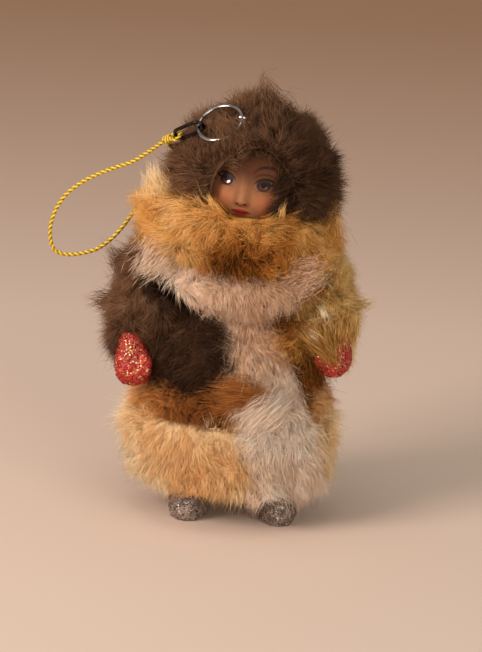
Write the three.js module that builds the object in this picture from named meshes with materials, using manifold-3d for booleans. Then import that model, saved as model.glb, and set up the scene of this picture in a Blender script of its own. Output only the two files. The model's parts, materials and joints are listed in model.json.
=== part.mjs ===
// A small hanging doll of cotton wool on a wire frame, in a patchwork fur coat, collar and hood.
// Millimetres, +Z up. The doll faces -Y and stands on the flat soles of its boots at Z = 0.
// "Right" and "left" are the doll's own: its right arm is on the -X side.
import * as THREE from 'three';
import { mergeVertices } from 'three/addons/utils/BufferGeometryUtils.js';
import Module from 'manifold-3d';

const wasm = await Module();
wasm.setup();

// Clearance between pieces that rest on or in one another
const SEAT_GAP = 0.3;

// Cotton body
const BODY_BOTTOM = 12;
const BODY_TOP = 64;
const HIP_RADIUS = 15;
const CHEST_RADIUS = 11.4;
const NECK_RADIUS = 5;
const NECK_TOP = 75;
const BODY_FLATNESS = 0.9;
const HIP_HEIGHT = 23;

// Head, leaning over the doll's left shoulder
const HEAD_LEAN = THREE.MathUtils.degToRad(6);
const HEAD_PIVOT_HEIGHT = 66;
const HEAD_HEIGHT = 85.6;
const HEAD_RADIUS = 12.3;
const HEAD_HALF_HEIGHT = 13.4;

// Moulded face over the front of the head
const FACE_THICKNESS = 1.7;
const FACE_HALF_WIDTH = 10.2;
const FACE_HALF_HEIGHT = 12;
const FACE_BACK = 4;
const FACE_TURN = THREE.MathUtils.degToRad(9);
const NOSE_HEIGHT = 82.5;
const NOSE_LENGTH = 4.4;
const NOSE_WIDTH = 2.8;
const NOSE_PROUD = 1.1;
const CHIN_HEIGHT = 76.5;
const CHIN_RADIUS = 3;
const CHIN_INSET = 1;

// Fur hood with its face opening
const HOOD_RADIUS = 20.5;
const HOOD_WIDEST_HEIGHT = 84;
const HOOD_BOTTOM = 72;
const HOOD_TOP = 105;
const HOOD_FLATNESS = 0.93;
const OPENING_HALF_WIDTH = 8.7;
const OPENING_HALF_HEIGHT = 10.2;
const OPENING_HEIGHT = 84.6;

// Fur collar, leaning with the head
const COLLAR_RADIUS = 24.4;
const COLLAR_HALF_HEIGHT = 8.5;
const COLLAR_HEIGHT = 73;
const COLLAR_OFFSET = -1;
const COLLAR_LEAN = THREE.MathUtils.degToRad(7);
const COLLAR_FLATNESS = 0.88;

// White fur yoke, whose lower edge rises from the chest to the shoulders
const YOKE_RADIUS = 24;
const YOKE_BOTTOM = 55.3;
const YOKE_TOP = 67;
const YOKE_FLATNESS = 0.86;
const YOKE_FLAT_HALF_WIDTH = 9;
const YOKE_SIDE_RISE = 9.6;

// Coat in three tiers: bodice, waist band and skirt
const HEM_HEIGHT = 9.5;
const SKIRT_TOP = 27;
const WAIST_TOP = 33.8;
const HEM_RADIUS = 24;
const SKIRT_RADIUS = 25.4;
const WAIST_RADIUS = 24.4;
const WAIST_TAPER = 1;
const BODICE_RADIUS = 21.4;
const SHOULDER_RADIUS = 18.5;
const COAT_FLATNESS = 0.88;
const TIER_ROUND = 2.2;
const SIDE_SEAM_DEPTH = 3;

// White fur band that crosses the front from the chest to the hem
const BAND_TOP_CENTRE = 0.8;
const BAND_HEM_CENTRE = 14.6;
const BAND_SWAY = 3.2;
const BAND_TOP_WIDTH = 12;
const BAND_HEM_WIDTH = 17;
const BAND_RISE = 0.6;

// Arms, sleeves and mittens
const SHOULDER_X = 9;
const SHOULDER_Y = 1.5;
const SHOULDER_Z = 58.5;
const WRIST_X = 26.1;
const WRIST_Y = -12;
const WRIST_Z = 48;
const LEFT_HAND_RAISE = 5.2;
const LEFT_HAND_IN = 0.4;
const UPPER_ARM_RADIUS = 4.2;
const WRIST_RADIUS = 2.9;
const SLEEVE_RADIUS = 8.6;
const SLEEVE_TOP_X = 19.6;
const SLEEVE_TOP_Y = 0.5;
const SLEEVE_TOP_Z = 65.5;
const SLEEVE_END_X = 21.6;
const SLEEVE_END_Y = -6.4;
const SLEEVE_END_Z = 41;
const MITTEN_LENGTH = 13.4;
const MITTEN_WIDTH = 9.4;
const MITTEN_THICKNESS = 7.4;
const MITTEN_INWARD = 2;
const MITTEN_FORWARD = 1.6;
const THUMB_LENGTH = 6.2;
const THUMB_WIDTH = 3.2;

// Legs and boots
const LEG_X = 10.4;
const STANCE_SHIFT = 1.9;
const LEG_Y = -0.5;
const LEG_RADIUS = 3.6;
const LEG_TOP = 18;
const BOOT_WIDTH = 10.4;
const BOOT_LENGTH = 18.6;
const BOOT_HEIGHT = 10.6;
const BOOT_AXIS_HEIGHT = 3.4;
const BOOT_FORWARD = 4.2;
const BOOT_TOE_OUT = THREE.MathUtils.degToRad(7);

// Wire frame
const FRAME_WIRE = 1.2;
const SPINE_BOTTOM = 27;
const SPINE_TOP = 90;
const ARM_WIRE_BACK = 3.4;
const ARM_WIRE_RISE = 1;
const ARM_WIRE_TIP = 5;
const LEG_WIRE_TOP = 22;
const LEG_WIRE_BOW = 2.5;
const LEG_WIRE_BOTTOM = 3;

// Hanger: wire eye in the hood, round jump ring, oval link
const EYE_TURN = THREE.MathUtils.degToRad(-114);
const EYE_DROP = 4.5;
const REST_TURN = THREE.MathUtils.degToRad(-162);
const REST_DROP = 9.2;
const EYE_WIRE = 0.7;
const EYE_STEM = 10;
const RING_DIAMETER = 11.2;
const RING_WIRE = 0.8;
const LINK_LENGTH = 8.2;
const LINK_WIDTH = 3.2;
const LINK_WIRE = 0.9;

// Cord loop tied to the link
const CORD_DIAMETER = 1.1;
const KNOT_LENGTH = 2.2;
const KNOT_WIDTH = 2.2;
const CORD_STEPS = 48;

// The loop from the knot, out to the doll's right and back behind the hood
const CORD_ROUTE = [
  [-20.4, -3.58, 94.5],
  [-24, -0.9, 91.1],
  [-28.1, 1.3, 87.8],
  [-32.7, 2.7, 85.6],
  [-37.1, 3.8, 83.3],
  [-41, 4.2, 80.8],
  [-44.2, 4.6, 77.8],
  [-46.3, 5, 74.4],
  [-47.6, 5.4, 70.6],
  [-47.8, 5.8, 66.5],
  [-46.4, 6.2, 62.9],
  [-43.4, 6.6, 62],
  [-39.3, 7.1, 62.5],
  [-35.6, 7.6, 63.9],
  [-32.6, 8.2, 66.3],
  [-30.1, 8.9, 69.2],
  [-27.6, 11, 72.6],
  [-24.6, 13.8, 76.2],
  [-21, 15.2, 80.2],
  [-18.4, 14.4, 84.2],
  [-17.8, 11.2, 87.8],
  [-18.6, 6.8, 90.8],
  [-19.6, 2.4, 92.6],
  [-19, -2.3, 94],
];

const DARK_FUR = new THREE.MeshStandardMaterial({ color: 0x3d2f25, roughness: 0.95, metalness: 0 });
const TAN_FUR = new THREE.MeshStandardMaterial({ color: 0xbd8a48, roughness: 0.95, metalness: 0 });
const BROWN_FUR = new THREE.MeshStandardMaterial({ color: 0x86592f, roughness: 0.95, metalness: 0 });
const CREAM_FUR = new THREE.MeshStandardMaterial({ color: 0xd6b27a, roughness: 0.95, metalness: 0 });
const WHITE_FUR = new THREE.MeshStandardMaterial({ color: 0xe2dad2, roughness: 0.95, metalness: 0 });
const COTTON = new THREE.MeshStandardMaterial({ color: 0xe9e4da, roughness: 1, metalness: 0 });
const SKIN = new THREE.MeshStandardMaterial({ color: 0xd09a72, roughness: 0.55, metalness: 0 });
const RED_GLITTER = new THREE.MeshStandardMaterial({ color: 0xb3262c, roughness: 0.4, metalness: 0.2 });
const SILVER_GLITTER = new THREE.MeshStandardMaterial({ color: 0x84848c, roughness: 0.35, metalness: 0.5 });
const STEEL_WIRE = new THREE.MeshStandardMaterial({ color: 0x8c8c8c, roughness: 0.4, metalness: 1 });
const BRIGHT_METAL = new THREE.MeshStandardMaterial({ color: 0xc9c9cc, roughness: 0.12, metalness: 1 });
const GOLD_CORD = new THREE.MeshStandardMaterial({ color: 0xd9b022, roughness: 0.35, metalness: 0.6 });

const MIRROR_SIDES = [
  { name: 'right', side: -1 },
  { name: 'left', side: 1 },
];

const vec = (x, y, z) => new THREE.Vector3(x, y, z);
const { lerp } = THREE.MathUtils;

// A closed solid for cutting and joining, from a geometry whose faces share their corners.
function solidOf(geometry) {
  geometry.deleteAttribute('normal');
  geometry.deleteAttribute('uv');
  const welded = mergeVertices(geometry, 1e-4);
  const solid = new wasm.Manifold(new wasm.Mesh({
    numProp: 3,
    vertProperties: new Float32Array(welded.attributes.position.array),
    triVerts: new Uint32Array(welded.index.array),
  }));
  return solid;
}

function meshOf(name, solid, material) {
  const cut = solid.getMesh();
  const geometry = new THREE.BufferGeometry();
  geometry.setAttribute('position', new THREE.BufferAttribute(cut.vertProperties, 3));
  geometry.setIndex(new THREE.BufferAttribute(cut.triVerts, 1));
  geometry.computeVertexNormals();
  const mesh = new THREE.Mesh(geometry, material);
  mesh.name = name;
  return mesh;
}

// Points of a swelling outline, from its low end to its high end, set out by `grow` all round.
function outlinePoints(outline, grow, steps) {
  const curve = new THREE.SplineCurve(outline.map(([radius, height]) => new THREE.Vector2(radius, height)));
  const points = [];
  for (let i = 0; i <= steps; i += 1) {
    const point = curve.getPoint(i / steps);
    const along = curve.getTangent(i / steps);
    points.push(new THREE.Vector2(point.x + grow * along.y, point.y - grow * along.x));
  }
  const low = points[0];
  const high = points[steps];
  low.y = curve.getPoint(0).y - grow;
  high.y = curve.getPoint(1).y + grow;
  return [new THREE.Vector2(0, low.y), ...points, new THREE.Vector2(0, high.y)];
}

// A turned form along +Z, flattened front to back.
function turned(outline, { flatness = 1, grow = 0, sides = 20, steps = 8, place = new THREE.Matrix4() }) {
  const geometry = new THREE.LatheGeometry(outlinePoints(outline, grow, steps), sides);
  geometry.rotateX(Math.PI / 2);
  geometry.scale(1, flatness, 1);
  geometry.applyMatrix4(place);
  return solidOf(geometry);
}

function ellipsoid(centre, radii, place = new THREE.Matrix4(), sides = 18) {
  const geometry = new THREE.SphereGeometry(1, sides, Math.round(sides / 2));
  geometry.scale(radii.x, radii.y, radii.z);
  geometry.translate(centre.x, centre.y, centre.z);
  geometry.applyMatrix4(place);
  return solidOf(geometry);
}

function box(low, high) {
  const size = high.clone().sub(low);
  const geometry = new THREE.BoxGeometry(size.x, size.y, size.z);
  geometry.translate(low.x + size.x / 2, low.y + size.y / 2, low.z + size.z / 2);
  return solidOf(geometry);
}

// A round wire or cord of one thickness along a curve.
function wireAlong(curve, radius, sides, steps) {
  const section = new THREE.Shape();
  for (let i = 0; i < sides; i += 1) {
    const turn = (2 * Math.PI * i) / sides;
    const corner = new THREE.Vector2(radius * Math.cos(turn), radius * Math.sin(turn));
    if (i === 0) {
      section.moveTo(corner.x, corner.y);
    } else {
      section.lineTo(corner.x, corner.y);
    }
  }
  section.closePath();
  return new THREE.ExtrudeGeometry(section, { steps, extrudePath: curve, bevelEnabled: false });
}

// Stands a form that was turned along +Z on the line from one point towards another, its width level.
function along(from, to) {
  const reach = to.clone().sub(from).normalize();
  const side = vec(0, 1, 0).cross(reach).normalize();
  return new THREE.Matrix4().makeBasis(side, reach.clone().cross(side), reach).setPosition(from);
}

const mirrored = (point, side) => vec(side * point.x, point.y, point.z);

// Places

const headPlace = new THREE.Matrix4()
  .makeTranslation(0, 0, HEAD_PIVOT_HEIGHT)
  .multiply(new THREE.Matrix4().makeRotationY(HEAD_LEAN))
  .multiply(new THREE.Matrix4().makeTranslation(0, 0, -HEAD_PIVOT_HEIGHT));
const collarPlace = new THREE.Matrix4()
  .makeTranslation(COLLAR_OFFSET, 0, COLLAR_HEIGHT)
  .multiply(new THREE.Matrix4().makeRotationY(COLLAR_LEAN));

const shoulder = vec(SHOULDER_X, SHOULDER_Y, SHOULDER_Z);
const sleeveTop = vec(SLEEVE_TOP_X, SLEEVE_TOP_Y, SLEEVE_TOP_Z);
const sleeveEnd = vec(SLEEVE_END_X, SLEEVE_END_Y, SLEEVE_END_Z);
const wristOf = (side) => (
  side > 0
    ? vec(WRIST_X - LEFT_HAND_IN, WRIST_Y, WRIST_Z + LEFT_HAND_RAISE)
    : vec(-WRIST_X, WRIST_Y, WRIST_Z)
);
const mittenTipOf = (side) => wristOf(side).add(vec(-side * MITTEN_INWARD, -MITTEN_FORWARD, -MITTEN_LENGTH));

// Soft forms, each of which can be set out by a clearance to cut its neighbours

const bodyForm = (grow) => turned([
  [HIP_RADIUS * 0.6, BODY_BOTTOM],
  [HIP_RADIUS * 0.93, lerp(BODY_BOTTOM, HIP_HEIGHT, 0.36)],
  [HIP_RADIUS, HIP_HEIGHT],
  [(HIP_RADIUS + CHEST_RADIUS) / 2, lerp(HIP_HEIGHT, BODY_TOP, 0.46)],
  [CHEST_RADIUS, lerp(HIP_HEIGHT, BODY_TOP, 0.78)],
  [(CHEST_RADIUS + NECK_RADIUS) / 2, lerp(HIP_HEIGHT, BODY_TOP, 0.96)],
  [NECK_RADIUS, lerp(BODY_TOP, NECK_TOP, 0.27)],
  [NECK_RADIUS, NECK_TOP],
], { flatness: BODY_FLATNESS, grow, sides: 16, steps: 10 });

const headForm = (grow) => ellipsoid(
  vec(0, 0, HEAD_HEIGHT),
  vec(HEAD_RADIUS + grow, HEAD_RADIUS + grow, HEAD_HALF_HEIGHT + grow),
  headPlace,
);

// An upright oval plug through the head from the front, back to the given depth.
function frontOval(halfWidth, halfHeight, height, back, front) {
  const shape = new THREE.Shape();
  shape.absellipse(0, 0, halfWidth, halfHeight, 0, 2 * Math.PI);
  const geometry = new THREE.ExtrudeGeometry(shape, {
    depth: front - back, bevelEnabled: false, curveSegments: 14,
  });
  geometry.rotateX(Math.PI / 2);
  geometry.translate(0, -back, height);
  geometry.applyMatrix4(headPlace);
  return solidOf(geometry);
}

// The face: a moulded shell with a nose and a chin, closed round the front of the head.
// It looks to the doll's right inside the hood's opening.
const facePlace = headPlace.clone().multiply(new THREE.Matrix4().makeRotationZ(-FACE_TURN));
function faceForm(grow) {
  const front = HEAD_RADIUS + SEAT_GAP + FACE_THICKNESS;
  const shell = ellipsoid(
    vec(0, 0, HEAD_HEIGHT),
    vec(front + grow, front + grow, HEAD_HALF_HEIGHT + SEAT_GAP + FACE_THICKNESS + grow),
    facePlace,
    22,
  );
  const nose = ellipsoid(
    vec(0, NOSE_PROUD - front, NOSE_HEIGHT),
    vec(NOSE_WIDTH / 2 + grow, 2 * NOSE_PROUD + grow, NOSE_LENGTH / 2 + grow),
    facePlace,
    12,
  );
  const chin = ellipsoid(
    vec(0, CHIN_RADIUS + CHIN_INSET - front, CHIN_HEIGHT),
    vec(CHIN_RADIUS + grow, CHIN_RADIUS + grow, CHIN_RADIUS + grow),
    facePlace,
    12,
  );
  const plug = frontOval(
    FACE_HALF_WIDTH + grow,
    FACE_HALF_HEIGHT + grow,
    OPENING_HEIGHT,
    FACE_BACK - grow,
    2 * front,
  );
  return shell.add(nose).add(chin).intersect(plug);
}

const collarForm = (grow) => turned([
  [COLLAR_RADIUS * 0.55, -COLLAR_HALF_HEIGHT],
  [COLLAR_RADIUS * 0.84, -COLLAR_HALF_HEIGHT * 0.82],
  [COLLAR_RADIUS * 0.97, -COLLAR_HALF_HEIGHT * 0.4],
  [COLLAR_RADIUS, 0],
  [COLLAR_RADIUS * 0.97, COLLAR_HALF_HEIGHT * 0.42],
  [COLLAR_RADIUS * 0.84, COLLAR_HALF_HEIGHT * 0.86],
  [COLLAR_RADIUS * 0.6, COLLAR_HALF_HEIGHT],
], { flatness: COLLAR_FLATNESS, grow, sides: 22, steps: 7, place: collarPlace });

const hoodOutline = [
  [HOOD_RADIUS * 0.7, HOOD_BOTTOM],
  [HOOD_RADIUS * 0.93, HOOD_BOTTOM + (HOOD_WIDEST_HEIGHT - HOOD_BOTTOM) * 0.42],
  [HOOD_RADIUS, HOOD_WIDEST_HEIGHT],
  [HOOD_RADIUS * 0.94, HOOD_WIDEST_HEIGHT + (HOOD_TOP - HOOD_WIDEST_HEIGHT) * 0.35],
  [HOOD_RADIUS * 0.8, HOOD_WIDEST_HEIGHT + (HOOD_TOP - HOOD_WIDEST_HEIGHT) * 0.6],
  [HOOD_RADIUS * 0.6, HOOD_WIDEST_HEIGHT + (HOOD_TOP - HOOD_WIDEST_HEIGHT) * 0.79],
  [HOOD_RADIUS * 0.36, HOOD_WIDEST_HEIGHT + (HOOD_TOP - HOOD_WIDEST_HEIGHT) * 0.925],
  [HOOD_RADIUS * 0.12, HOOD_TOP],
];
const HOOD_STEPS = 10;
const hoodForm = () => turned(hoodOutline, {
  flatness: HOOD_FLATNESS, sides: 22, steps: HOOD_STEPS, place: headPlace,
});

const yokeForm = (grow) => turned([
  [YOKE_RADIUS * 0.8, YOKE_BOTTOM],
  [YOKE_RADIUS * 0.97, YOKE_BOTTOM + (YOKE_TOP - YOKE_BOTTOM) * 0.16],
  [YOKE_RADIUS, YOKE_BOTTOM + (YOKE_TOP - YOKE_BOTTOM) * 0.42],
  [YOKE_RADIUS * 0.88, YOKE_BOTTOM + (YOKE_TOP - YOKE_BOTTOM) * 0.74],
  [YOKE_RADIUS * 0.5, YOKE_TOP],
], { flatness: YOKE_FLATNESS, grow, sides: 22, steps: 6 });

// All of the coat above the yoke's lower edge, which is level over the chest and rises to both sides.
function yokePlug(grow) {
  const outer = 2 * YOKE_RADIUS;
  const slope = YOKE_SIDE_RISE / (YOKE_RADIUS - YOKE_FLAT_HALF_WIDTH);
  const sideHeight = YOKE_BOTTOM + slope * (outer - YOKE_FLAT_HALF_WIDTH);
  const edge = [
    [-outer, sideHeight],
    [-YOKE_FLAT_HALF_WIDTH, YOKE_BOTTOM],
    [YOKE_FLAT_HALF_WIDTH, YOKE_BOTTOM],
    [outer, sideHeight],
  ];
  const lower = edge.map(([x, z]) => new THREE.Vector2(x, z - grow * Math.hypot(1, slope)));
  const upper = [new THREE.Vector2(outer, 2 * YOKE_TOP), new THREE.Vector2(-outer, 2 * YOKE_TOP)];
  const geometry = new THREE.ExtrudeGeometry(new THREE.Shape([...lower, ...upper]), {
    depth: 2 * outer, bevelEnabled: false,
  });
  geometry.rotateX(Math.PI / 2);
  geometry.translate(0, outer, 0);
  return solidOf(geometry);
}

// One puffed tier of the coat between two heights.
const tierForm = (low, high, radii, grow) => turned([
  [radii[0] - TIER_ROUND, low],
  [radii[0], low + TIER_ROUND],
  [radii[1], (low + high) / 2],
  [radii[2], high - TIER_ROUND],
  [radii[2] - TIER_ROUND, high],
], { flatness: COAT_FLATNESS, grow, sides: 24, steps: 6 });

const skirtForm = (grow) => tierForm(
  HEM_HEIGHT,
  SKIRT_TOP,
  [HEM_RADIUS, SKIRT_RADIUS, SKIRT_RADIUS],
  grow,
);
const waistForm = (grow) => tierForm(
  SKIRT_TOP + SEAT_GAP,
  WAIST_TOP,
  [WAIST_RADIUS, WAIST_RADIUS, WAIST_RADIUS - WAIST_TAPER],
  grow,
);
// The bodice, which runs up the sides of the chest under the yoke's rising edge.
const bodiceForm = (grow) => tierForm(
  WAIST_TOP + SEAT_GAP,
  YOKE_BOTTOM + TIER_ROUND,
  [BODICE_RADIUS, BODICE_RADIUS, SHOULDER_RADIUS],
  grow,
).add(yokeForm(grow)).subtract(yokePlug(SEAT_GAP - grow));

// Rows down the white band, which sways to the doll's left on its way to the hem.
function bandRows() {
  const top = new THREE.Vector2(BAND_TOP_CENTRE, YOKE_BOTTOM);
  const hem = new THREE.Vector2(BAND_HEM_CENTRE, HEM_HEIGHT);
  const middle = top.clone().add(hem).multiplyScalar(0.5);
  middle.x += BAND_SWAY;
  const centreLine = new THREE.QuadraticBezierCurve(top, middle, hem);
  const count = 5;
  const rows = [];
  for (let i = 0; i <= count; i += 1) {
    const width = lerp(BAND_TOP_WIDTH, BAND_HEM_WIDTH, i / count);
    rows.push({ centre: centreLine.getPoint(i / count), half: width / 2 });
  }
  rows[0].centre.y += SEAT_GAP;
  rows[count].centre.y -= SEAT_GAP;
  return rows;
}

// A flat outline in X and Z, taken through the front half of the coat.
function frontPlug(outline, back) {
  const geometry = new THREE.ExtrudeGeometry(new THREE.Shape(outline), {
    depth: 2 * SKIRT_RADIUS + back, bevelEnabled: false,
  });
  geometry.rotateX(Math.PI / 2);
  geometry.translate(0, back, 0);
  return solidOf(geometry);
}

function bandPlug(grow) {
  const rows = bandRows();
  const rightEdge = rows.map(({ centre, half }) => new THREE.Vector2(centre.x - half - grow, centre.y));
  const leftEdge = rows.map(({ centre, half }) => new THREE.Vector2(centre.x + half + grow, centre.y));
  return frontPlug([...rightEdge, ...leftEdge.reverse()], grow);
}

// All of the front on one side of the band's centre line, back to the side seam.
function frontSide(side) {
  const centres = bandRows().map(({ centre }) => centre);
  const outer = side * 2 * SKIRT_RADIUS;
  const hem = centres[centres.length - 1].y;
  const outline = [
    new THREE.Vector2(centres[0].x, YOKE_TOP),
    ...centres,
    new THREE.Vector2(outer, hem),
    new THREE.Vector2(outer, YOKE_TOP),
  ];
  return frontPlug(outline, SIDE_SEAM_DEPTH - SEAT_GAP / 2);
}

const armForm = (side, grow) => {
  const from = mirrored(shoulder, side);
  const to = wristOf(side);
  const length = from.distanceTo(to);
  return turned([
    [UPPER_ARM_RADIUS * 0.8, 0],
    [UPPER_ARM_RADIUS, length * 0.2],
    [(UPPER_ARM_RADIUS + WRIST_RADIUS) / 2, length * 0.6],
    [WRIST_RADIUS, length],
  ], { grow, sides: 12, steps: 4, place: along(from, to) });
};

const sleeveForm = (side) => {
  const from = mirrored(sleeveTop, side);
  const to = mirrored(sleeveEnd, side);
  const length = from.distanceTo(to);
  return turned([
    [SLEEVE_RADIUS * 0.5, 0],
    [SLEEVE_RADIUS * 0.88, length * 0.1],
    [SLEEVE_RADIUS, length * 0.4],
    [SLEEVE_RADIUS, length * 0.72],
    [SLEEVE_RADIUS * 0.86, length * 0.93],
    [SLEEVE_RADIUS * 0.55, length],
  ], { sides: 16, steps: 6, place: along(from, to) });
};

// A mitten: narrow at the wrist, full over the hand, with the thumb laid along its inner front.
function mittenForm(side, grow) {
  const from = wristOf(side);
  const to = mittenTipOf(side);
  const length = from.distanceTo(to);
  const place = along(from, to);
  const hand = turned([
    [MITTEN_WIDTH * 0.2, SEAT_GAP],
    [MITTEN_WIDTH * 0.33, length * 0.2],
    [MITTEN_WIDTH * 0.48, length * 0.52],
    [MITTEN_WIDTH * 0.5, length * 0.74],
    [MITTEN_WIDTH * 0.36, length * 0.93],
    [MITTEN_WIDTH * 0.12, length],
  ], { flatness: MITTEN_THICKNESS / MITTEN_WIDTH, grow, sides: 12, steps: 6, place });
  const thumb = ellipsoid(
    vec(side * MITTEN_WIDTH * 0.36, -MITTEN_THICKNESS * 0.34, length * 0.62),
    vec(THUMB_WIDTH / 2 + grow, THUMB_WIDTH / 2 + grow, THUMB_LENGTH / 2 + grow),
    place,
    10,
  );
  return hand.add(thumb);
}

const legPoint = (side, height) => vec(side * LEG_X + STANCE_SHIFT, LEG_Y, height);
const legForm = (side, grow) => turned([
  [LEG_RADIUS * 0.86, 0],
  [LEG_RADIUS, (LEG_TOP - BOOT_AXIS_HEIGHT) * 0.6],
  [LEG_RADIUS * 1.15, LEG_TOP - BOOT_AXIS_HEIGHT],
], {
  grow, sides: 12, steps: 3, place: along(legPoint(side, BOOT_AXIS_HEIGHT), legPoint(side, LEG_TOP)),
});

const bootPlace = (side) => new THREE.Matrix4()
  .setPosition(legPoint(side, 0))
  .multiply(new THREE.Matrix4().makeRotationZ(side * BOOT_TOE_OUT));
const bootForm = (side, grow) => ellipsoid(
  vec(0, -BOOT_FORWARD, BOOT_AXIS_HEIGHT),
  vec(BOOT_WIDTH / 2 + grow, BOOT_LENGTH / 2 + grow, BOOT_HEIGHT - BOOT_AXIS_HEIGHT + grow),
  bootPlace(side),
  20,
);

// Wire frame: spine, arms in one length, and an inverted U for the legs

const spineCurve = new THREE.CatmullRomCurve3([
  vec(0, 0, SPINE_BOTTOM),
  vec(0, 0, (SPINE_BOTTOM + HEAD_PIVOT_HEIGHT) / 2),
  vec(0, 0, HEAD_PIVOT_HEIGHT),
  vec(0, 0, (HEAD_PIVOT_HEIGHT + SPINE_TOP) / 2).applyMatrix4(headPlace),
  vec(0, 0, SPINE_TOP).applyMatrix4(headPlace),
]);

// The arm wire's places on one side: in the hand, at the wrist and inside the shoulder.
function armWirePoints(side) {
  const wrist = wristOf(side);
  const from = mirrored(shoulder, side);
  const handReach = mittenTipOf(side).sub(wrist).normalize();
  const armReach = wrist.clone().sub(from).normalize();
  return [
    wrist.clone().addScaledVector(handReach, ARM_WIRE_TIP),
    wrist,
    from.addScaledVector(armReach, UPPER_ARM_RADIUS),
  ];
}
const armCurve = new THREE.CatmullRomCurve3([
  ...armWirePoints(-1),
  vec(0, ARM_WIRE_BACK, SHOULDER_Z + ARM_WIRE_RISE),
  ...armWirePoints(1).reverse(),
]);

const legCurve = new THREE.CatmullRomCurve3([
  legPoint(-1, LEG_WIRE_BOTTOM),
  legPoint(-1, BOOT_HEIGHT),
  legPoint(-0.7, LEG_WIRE_TOP - LEG_WIRE_BOW),
  legPoint(0, LEG_WIRE_TOP),
  legPoint(0.7, LEG_WIRE_TOP - LEG_WIRE_BOW),
  legPoint(1, BOOT_HEIGHT),
  legPoint(1, LEG_WIRE_BOTTOM),
]);

const frameWire = (curve, steps) => solidOf(wireAlong(curve, FRAME_WIRE / 2, 6, steps));
const spineWire = frameWire(spineCurve, 9);
const armWire = frameWire(armCurve, 20);
const legWire = frameWire(legCurve, 18);

// The hole that a wire leaves in the pieces it runs through, with round blind ends.
function boreAlong(curve, radius, steps) {
  const endRoom = vec(radius, radius, radius);
  const start = ellipsoid(curve.getPoint(0), endRoom, new THREE.Matrix4(), 8);
  const end = ellipsoid(curve.getPoint(1), endRoom, new THREE.Matrix4(), 8);
  return solidOf(wireAlong(curve, radius, 6, steps)).add(start).add(end);
}
const frameBore = FRAME_WIRE / 2 + SEAT_GAP;
const spineBore = boreAlong(spineCurve, frameBore, 9);
const armBore = boreAlong(armCurve, frameBore, 20);
const legBore = boreAlong(legCurve, frameBore, 18);

// Hanger: the ring lies on the hood between its eye and the link that lifts its far side

const hoodProfile = outlinePoints(hoodOutline, 0, HOOD_STEPS);
function hoodRadius(height) {
  const above = hoodProfile.findIndex((point) => point.y > height);
  const low = hoodProfile[above - 1];
  const high = hoodProfile[above];
  return THREE.MathUtils.mapLinear(height, low.y, high.y, low.x, high.x);
}
const hoodPoint = (turn, height) => vec(
  hoodRadius(height) * Math.cos(turn),
  HOOD_FLATNESS * hoodRadius(height) * Math.sin(turn),
  height,
).applyMatrix4(headPlace);
function hoodNormal(turn, height) {
  const step = 0.02;
  const round = hoodPoint(turn + step, height).sub(hoodPoint(turn - step, height));
  const rise = hoodPoint(turn, height + step).sub(hoodPoint(turn, height - step));
  return round.cross(rise).normalize();
}

const EYE_RADIUS = RING_WIRE / 2 + SEAT_GAP + EYE_WIRE / 2;
const EYE_LIFT = EYE_RADIUS + EYE_WIRE / 2 + SEAT_GAP;
const LINK_LIFT = LINK_WIDTH / 2 + LINK_WIRE / 2 + SEAT_GAP;

// A place on the hood along the line from the eye to where the link rests.
function hangerPlace(t) {
  const turn = lerp(EYE_TURN, REST_TURN, t);
  const height = HOOD_TOP - lerp(EYE_DROP, REST_DROP, t);
  const out = hoodNormal(turn, height);
  const lift = lerp(EYE_LIFT, LINK_LIFT, t);
  return { out, point: hoodPoint(turn, height).addScaledVector(out, lift) };
}

const eye = hangerPlace(0);
let near = 0.2;
let far = 2;
while (far - near > 1e-6) {
  const middle = (near + far) / 2;
  if (hangerPlace(middle).point.distanceTo(eye.point) < RING_DIAMETER) {
    near = middle;
  } else {
    far = middle;
  }
}
const rest = hangerPlace(near);
const ringReach = rest.point.clone().sub(eye.point).normalize();
const hangerAxis = hangerPlace(near / 2).out.cross(ringReach).normalize();
const ringNormal = ringReach.clone().cross(hangerAxis);
const ringCentre = eye.point.clone().add(rest.point).multiplyScalar(0.5);

const linkReach = rest.out.clone().cross(hangerAxis).negate().normalize();
const linkSide = hangerAxis.clone().cross(linkReach).normalize();
const threadedBy = RING_WIRE / 2 + SEAT_GAP + LINK_WIRE / 2;
const linkCentre = rest.point.clone().addScaledVector(linkReach, LINK_LENGTH / 2 - threadedBy);
const linkFoot = linkCentre.clone().addScaledVector(linkReach, LINK_LENGTH / 2);

// The oval centre line of the link: two straights joined by half rounds.
class OvalCurve extends THREE.Curve {
  constructor(length, width) {
    super();
    this.radius = width / 2;
    this.straight = length - width;
  }

  getPoint(t, target = new THREE.Vector3()) {
    const arc = Math.PI * this.radius;
    const travel = (t % 1) * 2 * (arc + this.straight);
    const half = travel < arc + this.straight ? 1 : -1;
    const run = travel % (arc + this.straight);
    const turn = Math.min(run / this.radius, Math.PI) - Math.PI / 2;
    const back = Math.max(run - arc, 0);
    const x = this.straight / 2 + this.radius * Math.cos(turn) - back;
    return target.set(half * x, half * this.radius * Math.sin(turn), 0);
  }
}

function placed(name, geometry, material, centre, xAxis, yAxis) {
  const mesh = new THREE.Mesh(geometry, material);
  const zAxis = xAxis.clone().cross(yAxis);
  mesh.name = name;
  mesh.position.copy(centre);
  mesh.quaternion.setFromRotationMatrix(new THREE.Matrix4().makeBasis(xAxis, yAxis, zAxis));
  return mesh;
}

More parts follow.
